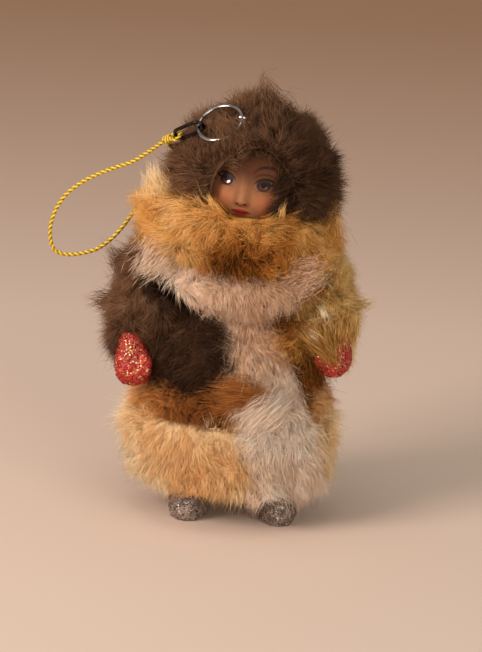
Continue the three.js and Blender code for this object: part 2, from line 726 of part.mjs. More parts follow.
const eyeStemStart = eye.point.clone().addScaledVector(eye.out, -EYE_RADIUS);
const eyeStemEnd = eye.point.clone().addScaledVector(eye.out, -EYE_STEM);
const eyeStemLine = new THREE.LineCurve3(eyeStemStart, eyeStemEnd);
const eyeBore = boreAlong(eyeStemLine, EYE_WIRE / 2 + SEAT_GAP, 1);
function hangerEye() {
  const loop = new THREE.TorusGeometry(EYE_RADIUS, EYE_WIRE / 2, 6, 16);
  const side = eye.out.clone().cross(hangerAxis).normalize();
  loop.applyMatrix4(new THREE.Matrix4().makeBasis(side, hangerAxis.clone().cross(side), hangerAxis));
  loop.translate(eye.point.x, eye.point.y, eye.point.z);
  return solidOf(loop).add(solidOf(wireAlong(eyeStemLine, EYE_WIRE / 2, 6, 1)));
}

// The knot: the cord's bight round the foot of the link, drawn up into a lump
const bightRadius = LINK_WIRE / 2 + SEAT_GAP + CORD_DIAMETER / 2;
const knotCentre = linkFoot.clone().addScaledVector(linkReach, bightRadius + KNOT_LENGTH / 2);
function cordKnot() {
  const bight = new THREE.TorusGeometry(bightRadius, CORD_DIAMETER / 2, 8, 14);
  bight.applyMatrix4(new THREE.Matrix4().makeBasis(linkReach, hangerAxis.clone().negate(), linkSide));
  bight.translate(linkFoot.x, linkFoot.y, linkFoot.z);
  const lump = turned([
    [KNOT_WIDTH * 0.3, -KNOT_LENGTH / 2],
    [KNOT_WIDTH * 0.5, -KNOT_LENGTH * 0.2],
    [KNOT_WIDTH * 0.5, KNOT_LENGTH * 0.2],
    [KNOT_WIDTH * 0.3, KNOT_LENGTH / 2],
  ], { sides: 12, steps: 5, place: along(knotCentre, knotCentre.clone().add(linkReach)) });
  return solidOf(bight).add(lump);
}

const cordPoints = CORD_ROUTE.map(([x, y, z]) => vec(x, y, z));
const cordCurve = new THREE.CatmullRomCurve3(cordPoints, false, 'centripetal');

// Pieces

const body = new THREE.Group();
const coat = new THREE.Group();
const head = new THREE.Group();
const hanger = new THREE.Group();
const doll = new THREE.Group();
doll.add(body, coat, head, hanger);

const span = 2 * SKIRT_RADIUS;
const aboveGround = box(vec(-span, -span, 0), vec(span, span, NECK_TOP));
const bodySolid = bodyForm(0)
  .subtract(headForm(SEAT_GAP))
  .subtract(faceForm(SEAT_GAP))
  .subtract(spineBore)
  .subtract(armBore)
  .subtract(legBore);
body.add(meshOf('body_core', bodySolid, COTTON));
body.add(meshOf('spine_wire', spineWire, STEEL_WIRE));
body.add(meshOf('arm_wire', armWire, STEEL_WIRE));
body.add(meshOf('leg_wire', legWire, STEEL_WIRE));

const bodyRoom = bodyForm(SEAT_GAP);
const arms = MIRROR_SIDES.map(({ side }) => armForm(side, SEAT_GAP));
const boots = MIRROR_SIDES.map(({ side }) => bootForm(side, SEAT_GAP));
const legs = MIRROR_SIDES.map(({ side }) => legForm(side, SEAT_GAP));

MIRROR_SIDES.forEach(({ name, side }, i) => {
  const arm = armForm(side, 0)
    .subtract(bodyRoom)
    .subtract(mittenForm(side, SEAT_GAP))
    .subtract(armBore);
  body.add(meshOf(`${name}_arm_core`, arm, COTTON));

  const mitten = mittenForm(side, 0).subtract(armBore);
  body.add(meshOf(`${name}_mitten`, mitten, RED_GLITTER));

  const leg = legForm(side, 0).subtract(boots[i]).subtract(bodyRoom).subtract(legBore);
  body.add(meshOf(`${name}_leg_core`, leg, COTTON));

  const boot = bootForm(side, 0).intersect(aboveGround).subtract(legBore);
  body.add(meshOf(`${name}_boot`, boot, SILVER_GLITTER));
});

// Head: face, collar and hood
head.add(meshOf(
  'head_core',
  headForm(0).subtract(spineBore).subtract(eyeBore),
  COTTON,
));
const headRoom = headForm(SEAT_GAP);
const faceRoom = faceForm(SEAT_GAP);
head.add(meshOf('face', faceForm(0).subtract(headRoom).subtract(eyeBore), SKIN));

const collarRoom = collarForm(SEAT_GAP);
const collarSolid = collarForm(0).subtract(bodyRoom).subtract(headRoom).subtract(faceRoom);
head.add(meshOf('collar', collarSolid, TAN_FUR));

const opening = frontOval(
  OPENING_HALF_WIDTH,
  OPENING_HALF_HEIGHT,
  OPENING_HEIGHT,
  FACE_BACK,
  2 * HOOD_RADIUS,
);
const hoodSolid = hoodForm()
  .subtract(collarRoom)
  .subtract(headRoom)
  .subtract(faceRoom)
  .subtract(opening)
  .subtract(bodyRoom)
  .subtract(eyeBore);
head.add(meshOf('hood', hoodSolid, DARK_FUR));

// Coat: yoke, skirt, waist band, bodice panels, front band and sleeves
const limbRoom = [...arms, bodyRoom];
const without = (solid, cutters) => cutters.reduce((left, cutter) => left.subtract(cutter), solid);

const yokeRoom = yokeForm(SEAT_GAP);
const yoke = yokeForm(0).intersect(yokePlug(0));
coat.add(meshOf('white_yoke', without(yoke, [collarRoom, ...limbRoom]), WHITE_FUR));

const bandRoom = bandPlug(SEAT_GAP);
const liningRadius = HIP_RADIUS + SEAT_GAP;
const lining = turned([
  [liningRadius, HEM_HEIGHT - SEAT_GAP],
  [liningRadius, HIP_HEIGHT],
], { flatness: BODY_FLATNESS, steps: 1 });
const skirt = without(skirtForm(0), [lining, bandRoom, ...boots, ...legs, bodyRoom]);
coat.add(meshOf('skirt', skirt, CREAM_FUR));

const waist = without(waistForm(0), [bandRoom, bodyRoom]);
coat.add(meshOf('waist_band', waist, BROWN_FUR));

const behind = box(vec(-span, SIDE_SEAM_DEPTH + SEAT_GAP / 2, 0), vec(span, span, YOKE_TOP));
const bodice = without(bodiceForm(0), [bandRoom, collarRoom, ...limbRoom]);
coat.add(meshOf('right_front', bodice.intersect(frontSide(-1)), DARK_FUR));
coat.add(meshOf('left_front', bodice.intersect(frontSide(1)), TAN_FUR));
coat.add(meshOf('coat_back', bodice.intersect(behind), BROWN_FUR));

const bandLayers = [skirtForm(BAND_RISE), waistForm(BAND_RISE), bodiceForm(BAND_RISE)];
const bandStock = bandLayers.reduce((whole, layer) => whole.add(layer));
const bandCutters = [bodyRoom, lining, ...boots, ...legs, yokeRoom];
const band = without(bandStock.intersect(bandPlug(0)), bandCutters);
coat.add(meshOf('white_front_band', band, WHITE_FUR));

const coatRoom = [skirtForm(SEAT_GAP), waistForm(SEAT_GAP), bodiceForm(SEAT_GAP), yokeRoom, collarRoom];
MIRROR_SIDES.forEach(({ name, side }, i) => {
  const sleeve = without(sleeveForm(side), [
    ...coatRoom,
    arms[i],
    armBore,
    mittenForm(side, SEAT_GAP),
    bandRoom.intersect(bandStock),
  ]);
  coat.add(meshOf(`${name}_sleeve`, sleeve, side < 0 ? DARK_FUR : TAN_FUR));
});

// Hanger
hanger.add(meshOf('hanger_eye', hangerEye(), BRIGHT_METAL));
hanger.add(placed(
  'hanger_ring',
  new THREE.TorusGeometry(RING_DIAMETER / 2, RING_WIRE / 2, 7, 30),
  BRIGHT_METAL,
  ringCentre,
  ringReach,
  hangerAxis,
));
hanger.add(placed(
  'link_ring',
  new THREE.TubeGeometry(new OvalCurve(LINK_LENGTH, LINK_WIDTH), 28, LINK_WIRE / 2, 7, true),
  BRIGHT_METAL,
  linkCentre,
  linkReach,
  linkSide,
));
hanger.add(meshOf('cord_knot', cordKnot(), GOLD_CORD));
hanger.add(meshOf(
  'hanging_cord',
  solidOf(wireAlong(cordCurve, CORD_DIAMETER / 2, 8, CORD_STEPS)),
  GOLD_CORD,
));

export default doll;
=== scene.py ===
"""Looks of a small cotton wool doll in a patchwork fur coat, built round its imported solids.

Fur, cotton, the painted face, glitter, rings and the hanging cord are modelled here. Sizes in the
classes below are millimetres in the doll's own frame: +Z up, the doll facing -Y, its right on -X.
Meshes are written in metres.
"""

from __future__ import annotations

import json
import logging
import math
from dataclasses import dataclass, replace
from enum import Enum
from functools import cache

import bpy
import numpy as np
from mathutils import Matrix, Quaternion, Vector
from mathutils.bvhtree import BVHTree
from mathutils.kdtree import KDTree

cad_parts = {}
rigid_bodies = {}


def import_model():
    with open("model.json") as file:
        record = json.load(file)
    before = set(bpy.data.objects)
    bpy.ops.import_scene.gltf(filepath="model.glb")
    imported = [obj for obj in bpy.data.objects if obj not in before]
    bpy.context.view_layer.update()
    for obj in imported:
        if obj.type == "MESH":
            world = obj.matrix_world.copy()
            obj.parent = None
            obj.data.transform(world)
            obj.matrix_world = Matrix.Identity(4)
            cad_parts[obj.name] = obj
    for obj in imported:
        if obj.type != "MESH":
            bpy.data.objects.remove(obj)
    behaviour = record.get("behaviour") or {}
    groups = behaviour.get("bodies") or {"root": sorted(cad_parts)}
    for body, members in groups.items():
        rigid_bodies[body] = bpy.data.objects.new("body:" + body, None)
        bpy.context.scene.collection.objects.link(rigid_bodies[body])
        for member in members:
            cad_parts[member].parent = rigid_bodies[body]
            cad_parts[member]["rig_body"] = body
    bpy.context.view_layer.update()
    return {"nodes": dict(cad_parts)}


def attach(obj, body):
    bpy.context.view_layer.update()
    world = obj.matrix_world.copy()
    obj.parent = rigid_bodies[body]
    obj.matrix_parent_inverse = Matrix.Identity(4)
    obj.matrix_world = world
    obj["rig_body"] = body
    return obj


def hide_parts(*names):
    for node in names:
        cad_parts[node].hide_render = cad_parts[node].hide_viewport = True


LOG = logging.getLogger("doll")

MM = 0.001
SEED = 41
GROUND = 0.3
WIRE_SIDES = 20
HEAD_LEAN = math.radians(6)
HEAD_PIVOT = Vector((0, 0, 66)) * MM

# Maps
FUR_MAP = "OFBake"
CORD_MAP = "CordMap"
FACE_MAP = "FaceMap"
FACE_MAP_SIZE = 40.0

# The fur's hide, in millimetres, and the share of a solid's wall that it may be drawn in by
HIDE_VOXEL = 1.15
WALL_REACH = 50.0
WALL_SHARE = 0.4
START_DEPTH = 0.05
FREE_REACH = 0.4

# The fur's tones: how strong a piece and its patches are, and how far tones stray from them
TONE_RANGE = (0.03, 0.97)
PIECE_WEIGHT = 0.4
PATCH_WEIGHT = 1.6
TONE_CLOUDS = ((0.07, 9.0, 0), (0.06, 3.6, 50))
HAIR_TONE = 0.09
LOCK_TONE = 0.05
SEWN_TONE = 0.1

# Hairs: shares of their piece's length and width, and how they bend
MOST_HAIRS = 31000
HAIR_REACH = (0.45, 1.05)
HAIR_WIDTHS = (0.75, 1.2)
HAIR_WAVER = 0.03
STRAY_SHARE = 0.09
STRAY_REACH = 1.32
LEAST_RISE = 0.12
BEND_OUT = 0.9
ROOT_DEPTH = 0.3
SWIRL_SIZE = 7.0

# Locks of hair, and the bunches sewn on
FEWEST_LOCKS = 20
LOCK_SHARE = 0.7
LOCK_REACH = (0.85, 1.12)
LOCK_PULLS = (0.2, 1.3)
MOST_PULL = 0.9
LOCK_SPREAD = 0.35
LOCK_EASE = 0.6
SEWN_FRIZZ = 0.6
SEWN_REACH = (0.55, 1.0)

Colour = tuple[float, float, float]
Point = tuple[float, float, float]
Rows = np.ndarray
Piece = bpy.types.Object
Mesh = bpy.types.Mesh
Material = bpy.types.Material
Socket = bpy.types.NodeSocket
Nodes = dict[str, Piece]
Chance = np.random.Generator


def linear(level: int) -> float:
    """Turns a level of 0 to 255, as seen on a screen, into linear light."""
    share = level / 255
    return share / 12.92 if share <= 0.04045 else ((share + 0.055) / 1.055) ** 2.4


def srgb(red: int, green: int, blue: int) -> Colour:
    """Turns a colour of 0 to 255 a channel, as seen on a screen, into linear light."""
    return linear(red), linear(green), linear(blue)


def head_place() -> Matrix:
    """The lean of the head and all that is on it."""
    lean = Matrix.Rotation(HEAD_LEAN, 4, "Y")
    return Matrix.Translation(HEAD_PIVOT) @ lean @ Matrix.Translation(-HEAD_PIVOT)


# Work on meshes


def fresh_selection() -> None:
    """Leaves nothing selected, so that the next operator acts on its own piece alone."""
    bpy.ops.object.select_all(action="DESELECT")


def take(piece: Piece) -> None:
    """Makes a piece the one that operators act on.

    Args:
        piece: The object to select and make active.
    """
    fresh_selection()
    piece.select_set(True)
    bpy.context.view_layer.objects.active = piece


def named(name: str) -> Piece:
    """Gives the active object, and its mesh, a name.

    Args:
        name: The new name.

    Returns:
        The active object.
    """
    piece = bpy.context.active_object
    piece.name = name
    piece.data.name = name
    return piece


def new_object(name: str, data: bpy.types.ID) -> Piece:
    """Puts a mesh, lamp or camera into the scene as an object.

    Args:
        name: The object's name.
        data: What it shows.

    Returns:
        The new object.
    """
    piece = bpy.data.objects.new(name, data)
    bpy.context.scene.collection.objects.link(piece)
    return piece


def smooth_faces(piece: Piece) -> None:
    """Shades a piece's faces as one rounded surface."""
    take(piece)
    bpy.ops.object.shade_smooth()


def points_of(mesh: Mesh) -> Rows:
    """The places of a mesh's vertices, one row each.

    Args:
        mesh: The mesh to read.

    Returns:
        One row for each vertex, in metres.
    """
    flat = np.empty(len(mesh.vertices) * 3, np.float32)
    mesh.vertices.foreach_get("co", flat)
    return flat.reshape(-1, 3).astype(float)


def move_points(mesh: Mesh, places: Rows) -> None:
    """Puts a mesh's vertices at new places, one row each."""
    mesh.vertices.foreach_set("co", places.astype(np.float32).ravel())
    mesh.update()


def normals_of(mesh: Mesh) -> Rows:
    """The directions that a mesh's vertices face, one row each.

    Args:
        mesh: The mesh to read.

    Returns:
        One row of length 1 for each vertex.
    """
    flat = np.empty(len(mesh.vertices) * 3, np.float32)
    mesh.vertex_normals.foreach_get("vector", flat)
    return flat.reshape(-1, 3).astype(float)


def write_map(mesh: Mesh, name: str, spots: Rows) -> None:
    """Gives a mesh a map, with two values for each corner of its faces."""
    mesh.uv_layers.new(name=name).uv.foreach_set("vector", spots.astype(np.float32).ravel())


def push_out(mesh: Mesh, far: Rows) -> None:
    """Moves each vertex of a mesh a distance in metres along the way that it faces."""
    move_points(mesh, points_of(mesh) + normals_of(mesh) * far[:, None])


def vertices_of(mesh: Mesh) -> Rows:
    """The vertex number of each corner of a mesh's faces.

    Args:
        mesh: The mesh to read.

    Returns:
        One number for each corner, face by face.
    """
    vertex = np.empty(len(mesh.loops), np.int32)
    mesh.loops.foreach_get("vertex_index", vertex)
    return vertex


def unit(rows: Rows) -> Rows:
    """Scales each row to length 1."""
    return rows / np.maximum(np.linalg.norm(rows, axis=1, keepdims=True), 1e-9)


def add_modifier(piece: Piece, kind: str, **settings: object) -> None:
    """Adds a modifier to a piece and applies it.

    Args:
        piece: The object to change.
        kind: Blender's name for the modifier.
        settings: The modifier's own values.
    """
    take(piece)
    modifier = piece.modifiers.new(kind.title(), kind)
    for name, value in settings.items():
        setattr(modifier, name, value)
    bpy.ops.object.modifier_apply(modifier=modifier.name)


def rounded_copy(node: str, name: str, voxel: float, smooth: int, nodes: Nodes) -> Piece:
    """Copies a solid as a soft form: its facets are welded, remeshed finely and smoothed.

    Args:
        node: The solid to copy.
        name: The new piece's name.
        voxel: How fine the new mesh is, in millimetres.
        smooth: How many times the mesh is smoothed.
        nodes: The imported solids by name.

    Returns:
        The new piece.
    """
    mesh = nodes[node].data.copy()
    mesh.materials.clear()
    mesh.name = name
    piece = new_object(name, mesh)
    take(piece)
    bpy.ops.object.mode_set(mode="EDIT")
    bpy.ops.mesh.select_all(action="SELECT")
    bpy.ops.mesh.remove_doubles(threshold=1e-6)
    bpy.ops.object.mode_set(mode="OBJECT")
    add_modifier(piece, "REMESH", mode="VOXEL", voxel_size=voxel * MM)
    add_modifier(piece, "SMOOTH", factor=0.5, iterations=smooth)
    bpy.ops.object.shade_smooth()
    return piece


def mesh_piece(name: str, places: Rows, corners: Rows, sides: Rows) -> Piece:
    """Makes an object from arrays, for shapes of thousands of small pieces.

    Args:
        name: The piece's name.
        places: One row for each vertex.
        corners: The vertices of each face, one after the other.
        sides: How many corners each face has.

    Returns:
        The new object, in the scene.
    """
    mesh = bpy.data.meshes.new(name)
    mesh.vertices.add(len(places))
    mesh.loops.add(len(corners))
    mesh.polygons.add(len(sides))
    mesh.vertices.foreach_set("co", places.astype(np.float32).ravel())
    mesh.loops.foreach_set("vertex_index", corners.astype(np.int32))
    starts = np.concatenate([[0], np.cumsum(sides)[:-1]])
    mesh.polygons.foreach_set("loop_start", starts.astype(np.int32))
    mesh.update(calc_edges=True)
    return new_object(name, mesh)


def sow(
    name: str, bodies: Rows, faces: list[tuple[int, int, int]], spots: tuple[Rows, Rows],
    offsets: tuple[Rows, Rows],
) -> Piece:
    """Makes one object of many small closed bodies, each with its own place on the fur's map.

    Args:
        name: The piece's name.
        bodies: The vertices of each body, in millimetres.
        faces: The three vertices of each face of a body.
        spots: Each body's place across and up the map.
        offsets: How far across and up from there each vertex of a body lies.

    Returns:
        The new object.
    """
    count, each = bodies.shape[:2]
    pattern = np.array(faces).ravel()
    corners = (np.arange(count)[:, None] * each + pattern).ravel()
    piece = mesh_piece(name, bodies.reshape(-1, 3) * MM, corners, np.full(count * len(faces), 3))
    rows = [spot[:, None] + offset[pattern] for spot, offset in zip(spots, offsets)]
    write_map(piece.data, FUR_MAP, np.stack(rows, 2))
    return piece


def waves(places: Rows, size: float, seed: int) -> Rows:
    """A smooth uneven field, from about -1 to 1, that is the same at each run.

    Args:
        places: Points in millimetres, one row each.
        size: About how far apart its highs and lows are, in millimetres.
        seed: Which of such fields.

    Returns:
        One value for each point.
    """
    rng = np.random.default_rng(seed)
    total = np.zeros(len(places))
    count = 7
    for _ in range(count):
        way = rng.normal(size=3)
        way *= rng.uniform(0.7, 1.6) * math.pi / size / np.linalg.norm(way)
        total += np.sin(places @ way + rng.uniform(0, 2 * math.pi))
    return total / math.sqrt(count)


def swirl(places: Rows, size: float, seed: int) -> Rows:
    """A smooth uneven field of directions, one row for each point in millimetres."""
    return np.stack([waves(places, size, 10 * seed + axis) for axis in range(3)], 1)


def bend_ring(name: str, diameter: float, wire: float, around: int) -> Piece:
    """Makes a ring flat at the origin, from its sizes in millimetres and its steps round.

    Args:
        name: The ring's name.
        diameter: Its width between the middles of the wire, in millimetres.
        wire: How thick the wire is, in millimetres.
        around: How many steps it has round.

    Returns:
        The ring.
    """
    fresh_selection()
    bpy.ops.mesh.primitive_torus_add(
        major_radius=diameter / 2 * MM, minor_radius=wire / 2 * MM,
        major_segments=around, minor_segments=WIRE_SIDES,
    )
    return named(name)


def lay_like(ring: Piece, node: Piece) -> None:
    """Moves a ring that is flat at the origin, with its length along X, to where its solid lies.

    Args:
        ring: The ring to move.
        node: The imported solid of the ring.
    """
    places = points_of(node.data)
    centre = (places.max(0) + places.min(0)) / 2
    for _ in range(2):
        axes = np.linalg.svd(places - centre, full_matrices=False)[2]
        along = (places - centre) @ axes.T
        centre = centre + ((along.max(0) + along.min(0)) / 2) @ axes
    turn = Matrix(np.stack([axes[0], np.cross(axes[2], axes[0]), axes[2]], 1)).to_4x4()
    ring.data.transform(Matrix.Translation(centre) @ turn)
    take(ring)


def smooth_route(points: tuple[Point, ...], steps: int) -> Rows:
    """Runs a smooth curve through points, spaced evenly along its length.

    Args:
        points: The points, in order.
        steps: How many spans the result has.

    Returns:
        The places along the curve, one row each.
    """
    knots = np.array(points, float)
    knots = np.vstack([2 * knots[0] - knots[1], knots, 2 * knots[-1] - knots[-2]])
    spans = np.sqrt(np.maximum(np.linalg.norm(np.diff(knots, axis=0), axis=1), 1e-6))
    rows = []
    for i in range(1, len(knots) - 2):
        before, here, after = spans[i - 1], spans[i], spans[i + 1]
        step = knots[i + 1] - knots[i]
        leave = (knots[i] - knots[i - 1]) / before - (knots[i + 1] - knots[i - 1]) / (before + here)
        leave = (leave + step / here) * here
        reach = step / here - (knots[i + 2] - knots[i]) / (here + after)
        reach = (reach + (knots[i + 2] - knots[i + 1]) / after) * here
        t = np.linspace(0, 1, 60, endpoint=False)[:, None]
        rows.append(
            knots[i] + leave * t + (3 * step - 2 * leave - reach) * t**2
            + (leave + reach - 2 * step) * t**3
        )
    fine = np.vstack([*rows, knots[-2]])
    run = np.concatenate([[0], np.cumsum(np.linalg.norm(np.diff(fine, axis=0), axis=1))])
    even = np.linspace(0, run[-1], steps + 1)
    return np.stack([np.interp(even, run, fine[:, axis]) for axis in range(3)], 1)


def twisted_tube(
    name: str, centres: Rows, radius: float, sides: int, groove: Rows, pitch: float
) -> Piece:
    """Lays two twisted strands along a path, as one closed tube with its own map.

    Args:
        name: The piece's name.
        centres: The path in millimetres, one row for each ring.
        radius: The radius over the strands, in millimetres.
        sides: How many corners a ring has.
        groove: How deep the groove between the strands is at each ring, as a share of the radius.
        pitch: How far along the path the strands take one turn, in millimetres.

    Returns:
        The new object, mapped round the twist and along the path.
    """
    count = len(centres)
    ahead = unit(np.gradient(centres, axis=0))
    run = np.concatenate([[0], np.cumsum(np.linalg.norm(np.diff(centres, axis=0), axis=1))])
    side = np.cross(ahead[0], (0.3, 0.2, 0.9))
    sideways = np.empty_like(centres)
    for i in range(count):
        side = side - ahead[i] * (side @ ahead[i])
        side = side / np.linalg.norm(side)
        sideways[i] = side
    upward = np.cross(ahead, sideways)
    angle = 2 * math.pi * np.arange(sides) / sides
    twist = angle[None, :] - 2 * math.pi * run[:, None] / pitch
    out = radius * (1 - groove[:, None] * np.sin(twist) ** 2)[:, :, None]
    cos, sin = np.cos(angle)[None, :, None], np.sin(angle)[None, :, None]
    ring = cos * sideways[:, None] + sin * upward[:, None]
    places = (centres[:, None] + ring * out).reshape(-1, 3)
    near = np.arange(count - 1)[:, None] * sides + np.arange(sides)[None, :]
    next_side = np.arange(count - 1)[:, None] * sides + (np.arange(sides)[None, :] + 1) % sides
    walls = np.stack([near, next_side, next_side + sides, near + sides], 2).reshape(-1)
    caps = np.concatenate([np.arange(sides)[::-1], (count - 1) * sides + np.arange(sides)])
    lengths = np.concatenate([np.full((count - 1) * sides, 4), [sides, sides]])
    piece = mesh_piece(name, places * MM, np.concatenate([walls, caps]), lengths)
    turn = np.arange(sides)[None, :] / sides
    around = np.stack([turn, turn + 1 / sides, turn + 1 / sides, turn], 2)
    around = np.repeat(around, count - 1, axis=0)
    start, end = run[:-1, None, None], run[1:, None, None]
    on = np.concatenate([start, start, end, end], 2).repeat(sides, axis=1)
    flat = np.stack([around - on / pitch, on / 100], 3).reshape(-1, 2)
    ends = np.stack([np.tile(turn[0], 2), np.repeat([0, run[-1] / 100], sides)], 1)
    write_map(piece.data, CORD_MAP, np.concatenate([flat, ends]))
    smooth_faces(piece)
    return piece


def join(pieces: list[Piece], name: str) -> Piece:
    """Joins pieces into the first of them and names it.

    Args:
        pieces: The objects, of which the first one stays.
        name: The joined object's name.

    Returns:
        The joined object.
    """
    take(pieces[0])
    for piece in pieces[1:]:
        piece.select_set(True)
    bpy.ops.object.join()
    return named(name)


def dress(piece: Piece, material: Material, body: str, node: str = "") -> None:
    """Gives a piece its finish and its place on the doll.

    Args:
        piece: The finished mesh.
        material: What it is dressed in.
        body: The body that it moves with.
        node: The solid that it stands for, if any.
    """
    piece.data.materials.clear()
    piece.data.materials.append(material)
    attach(piece, body)
    if node:
        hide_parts(node)


# Finishes


class Shade:
    """A material under construction: short calls to add nodes and join them."""

    def __init__(self, name: str) -> None:
        """Starts a material with its shader.

        Args:
            name: The material's name.
        """
        self.material = bpy.data.materials.new(name)
        self.material.use_nodes = True
        self.tree = self.material.node_tree
        self.surface = self.tree.nodes["Principled BSDF"]

    def add(self, kind: str, feeds: dict | None = None, **settings: object) -> bpy.types.Node:
        """Adds a node.

        Args:
            kind: The node's type, without its ShaderNode prefix.
            feeds: For each input, by name or number, its value or the socket that feeds it.
            settings: The node's own options.

        Returns:
            The new node.
        """
        node = self.tree.nodes.new("ShaderNode" + kind)
        for name, value in settings.items():
            setattr(node, name, value)
        self.feed(node, feeds or {})
        return node

    def feed(self, node: bpy.types.Node, feeds: dict) -> None:
        """Sets or links a node's inputs, by name or number.

        Args:
            node: The node to feed.
            feeds: For each input, its value or the socket that feeds it.
        """
        for key, value in feeds.items():
            if isinstance(value, Socket):
                self.tree.links.new(value, node.inputs[key])
            else:
                node.inputs[key].default_value = value

    def ramp(self, feed: Socket, stops: list[tuple[float, Colour]]) -> Socket:
        """Adds a colour ramp.

        Args:
            feed: The value that is looked up.
            stops: The ramp's places and colours.

        Returns:
            The ramp's colour.
        """
        node = self.add("ValToRGB", {"Fac": feed})
        elements = node.color_ramp.elements
        while len(elements) < len(stops):
            elements.new(1.0)
        for element, (place, colour) in zip(elements, stops):
            element.position = place
            element.color = (*colour, 1)
        return node.outputs["Color"]

    def mix(self, share: object, first: object, second: object, blend: str = "MIX") -> Socket:
        """Mixes two colours.

        Args:
            share: How much of the second, as a value or a socket.
            first: The colour below, as a value or a socket.
            second: The colour above, as a value or a socket.
            blend: How the second is laid over the first.

        Returns:
            The mixed colour.
        """
        colours = [(*c, 1) if isinstance(c, tuple) else c for c in (first, second)]
        feeds = {0: share, 6: colours[0], 7: colours[1]}
        node = self.add("Mix", feeds, data_type="RGBA", blend_type=blend)
        return node.outputs[2]

    def maths(
        self, operation: str, first: object, second: object = 0.0, use_clamp: bool = False
    ) -> Socket:
        """Adds one sum on values or sockets and gives its result, kept to 0 to 1 if asked."""
        feeds = {0: first, 1: second}
        return self.add("Math", feeds, operation=operation, use_clamp=use_clamp).outputs[0]

    def palette(self, feed: Socket, colours: tuple[Colour, ...]) -> Socket:
        """Adds a ramp whose colours lie at even steps."""
        last = len(colours) - 1
        return self.ramp(feed, [(i / last, colour) for i, colour in enumerate(colours)])

    def place(self) -> Socket:
        """Adds the place on the object, in metres."""
        return self.add("TexCoord").outputs["Object"]

    def spot(self, name: str) -> Socket:
        """Adds the place on one of the object's maps."""
        return self.add("UVMap", uv_map=name).outputs[0]

    def split(self, value: Socket) -> list[Socket]:
        """Splits a place into its values."""
        return list(self.add("SeparateXYZ", {0: value}).outputs)

    def noise(self, place: Socket, scale: float, detail: float) -> Socket:
        """Adds a cloudy value."""
        return self.add("TexNoise", {"Vector": place, "Scale": scale, "Detail": detail}).outputs[0]

    def rescale(self, value: Socket, low: float, high: float) -> Socket:
        """Runs a value of 0 to 1 from a low to a high one."""
        return self.add("MapRange", {"Value": value, "To Min": low, "To Max": high}).outputs[0]

    def bump(self, height: Socket, strength: float, distance: float) -> Socket:
        """Adds fine relief, from its height, its strength and its depth in metres."""
        feeds = {"Height": height, "Strength": strength, "Distance": distance}
        return self.add("Bump", feeds).outputs[0]

    def done(self, feeds: dict) -> Material:
        """Feeds the shader and gives the finished material."""
        self.feed(self.surface, feeds)
        return self.material


@dataclass(frozen=True)
class FurFinish:
    """A fur's colours, from its darkest hairs to its palest, and how dark they are at the skin."""

    name: str
    tones: tuple[Colour, ...]
    root_share: float = 0.5
    root_end: float = 0.55
    roughness: float = 0.75
    kind: str = "plain"

    @cache
    def material(self) -> Material:
        """Makes the fur's material, which reads a hair's tone across its map and its height up it.

        Returns:
            The material, the same one at each call.
        """
        shade = Shade(f"{self.name}_{self.kind}_look")
        across, up, _ = shade.split(shade.spot(FUR_MAP))
        root = (self.root_share,) * 3
        depth = shade.ramp(up, [(0.0, root), (self.root_end, (1.0, 1.0, 1.0))])
        return shade.done({
            "Base Color": shade.mix(1.0, shade.palette(across, self.tones), depth, "MULTIPLY"),
            "Roughness": self.roughness,
            "Specular IOR Level": 0.0,
        })


DARK_FUR = FurFinish(
    "dark_fur",
    (srgb(49, 35, 27), srgb(98, 67, 49), srgb(150, 107, 78), srgb(198, 167, 137)),
)
TAN_FUR = FurFinish(
    "tan_fur",
    (
        srgb(46, 28, 16), srgb(190, 112, 46), srgb(236, 172, 92), srgb(252, 206, 142),
        srgb(255, 236, 204),
    ),
    root_share=0.65,
)
OLIVE_FUR = FurFinish(
    "tan_fur",
    (
        srgb(46, 30, 18), srgb(192, 132, 66), srgb(238, 190, 118), srgb(251, 217, 164),
        srgb(255, 240, 214),
    ),
    root_share=0.65,
    kind="olive",
)
BROWN_FUR = FurFinish(
    "brown_fur",
    (srgb(108, 58, 29), srgb(182, 110, 56), srgb(222, 154, 90), srgb(246, 202, 150)),
    root_share=0.6,
)
CREAM_FUR = FurFinish(
    "cream_fur",
    (srgb(220, 146, 84), srgb(250, 196, 136), srgb(254, 218, 168), srgb(255, 238, 210)),
    root_share=0.85,
)
WHITE_FUR = FurFinish(
    "white_fur",
    (srgb(226, 178, 144), srgb(246, 208, 178), srgb(253, 224, 200), srgb(255, 242, 228)),
    root_share=0.92,
)


@dataclass(frozen=True)
class CottonFinish:
    """Wound cotton wool set with paste: pale, matt and full of fine fibres."""

    name: str = "cotton"
    pale: Colour = srgb(236, 228, 214)
    dull: Colour = srgb(198, 184, 164)

    @cache
    def material(self) -> Material:
        """Makes the cotton's material, with fibres wound round the form.

        Returns:
            The material, the same one at each call.
        """
        shade = Shade(f"{self.name}_look")
        place = shade.place()
        wound = shade.add("Mapping", {"Vector": place, "Scale": (420.0, 420.0, 2600.0)})
        fibres = shade.noise(wound.outputs[0], 1.0, 6.0)
        share = shade.maths("MULTIPLY", fibres, shade.noise(place, 160.0, 3.0))
        return shade.done({
            "Base Color": shade.ramp(share, [(0.12, self.dull), (0.42, self.pale)]),
            "Roughness": 0.95,
            "Specular IOR Level": 0.1,
            "Normal": shade.bump(fibres, 0.5, 0.0003),
        })


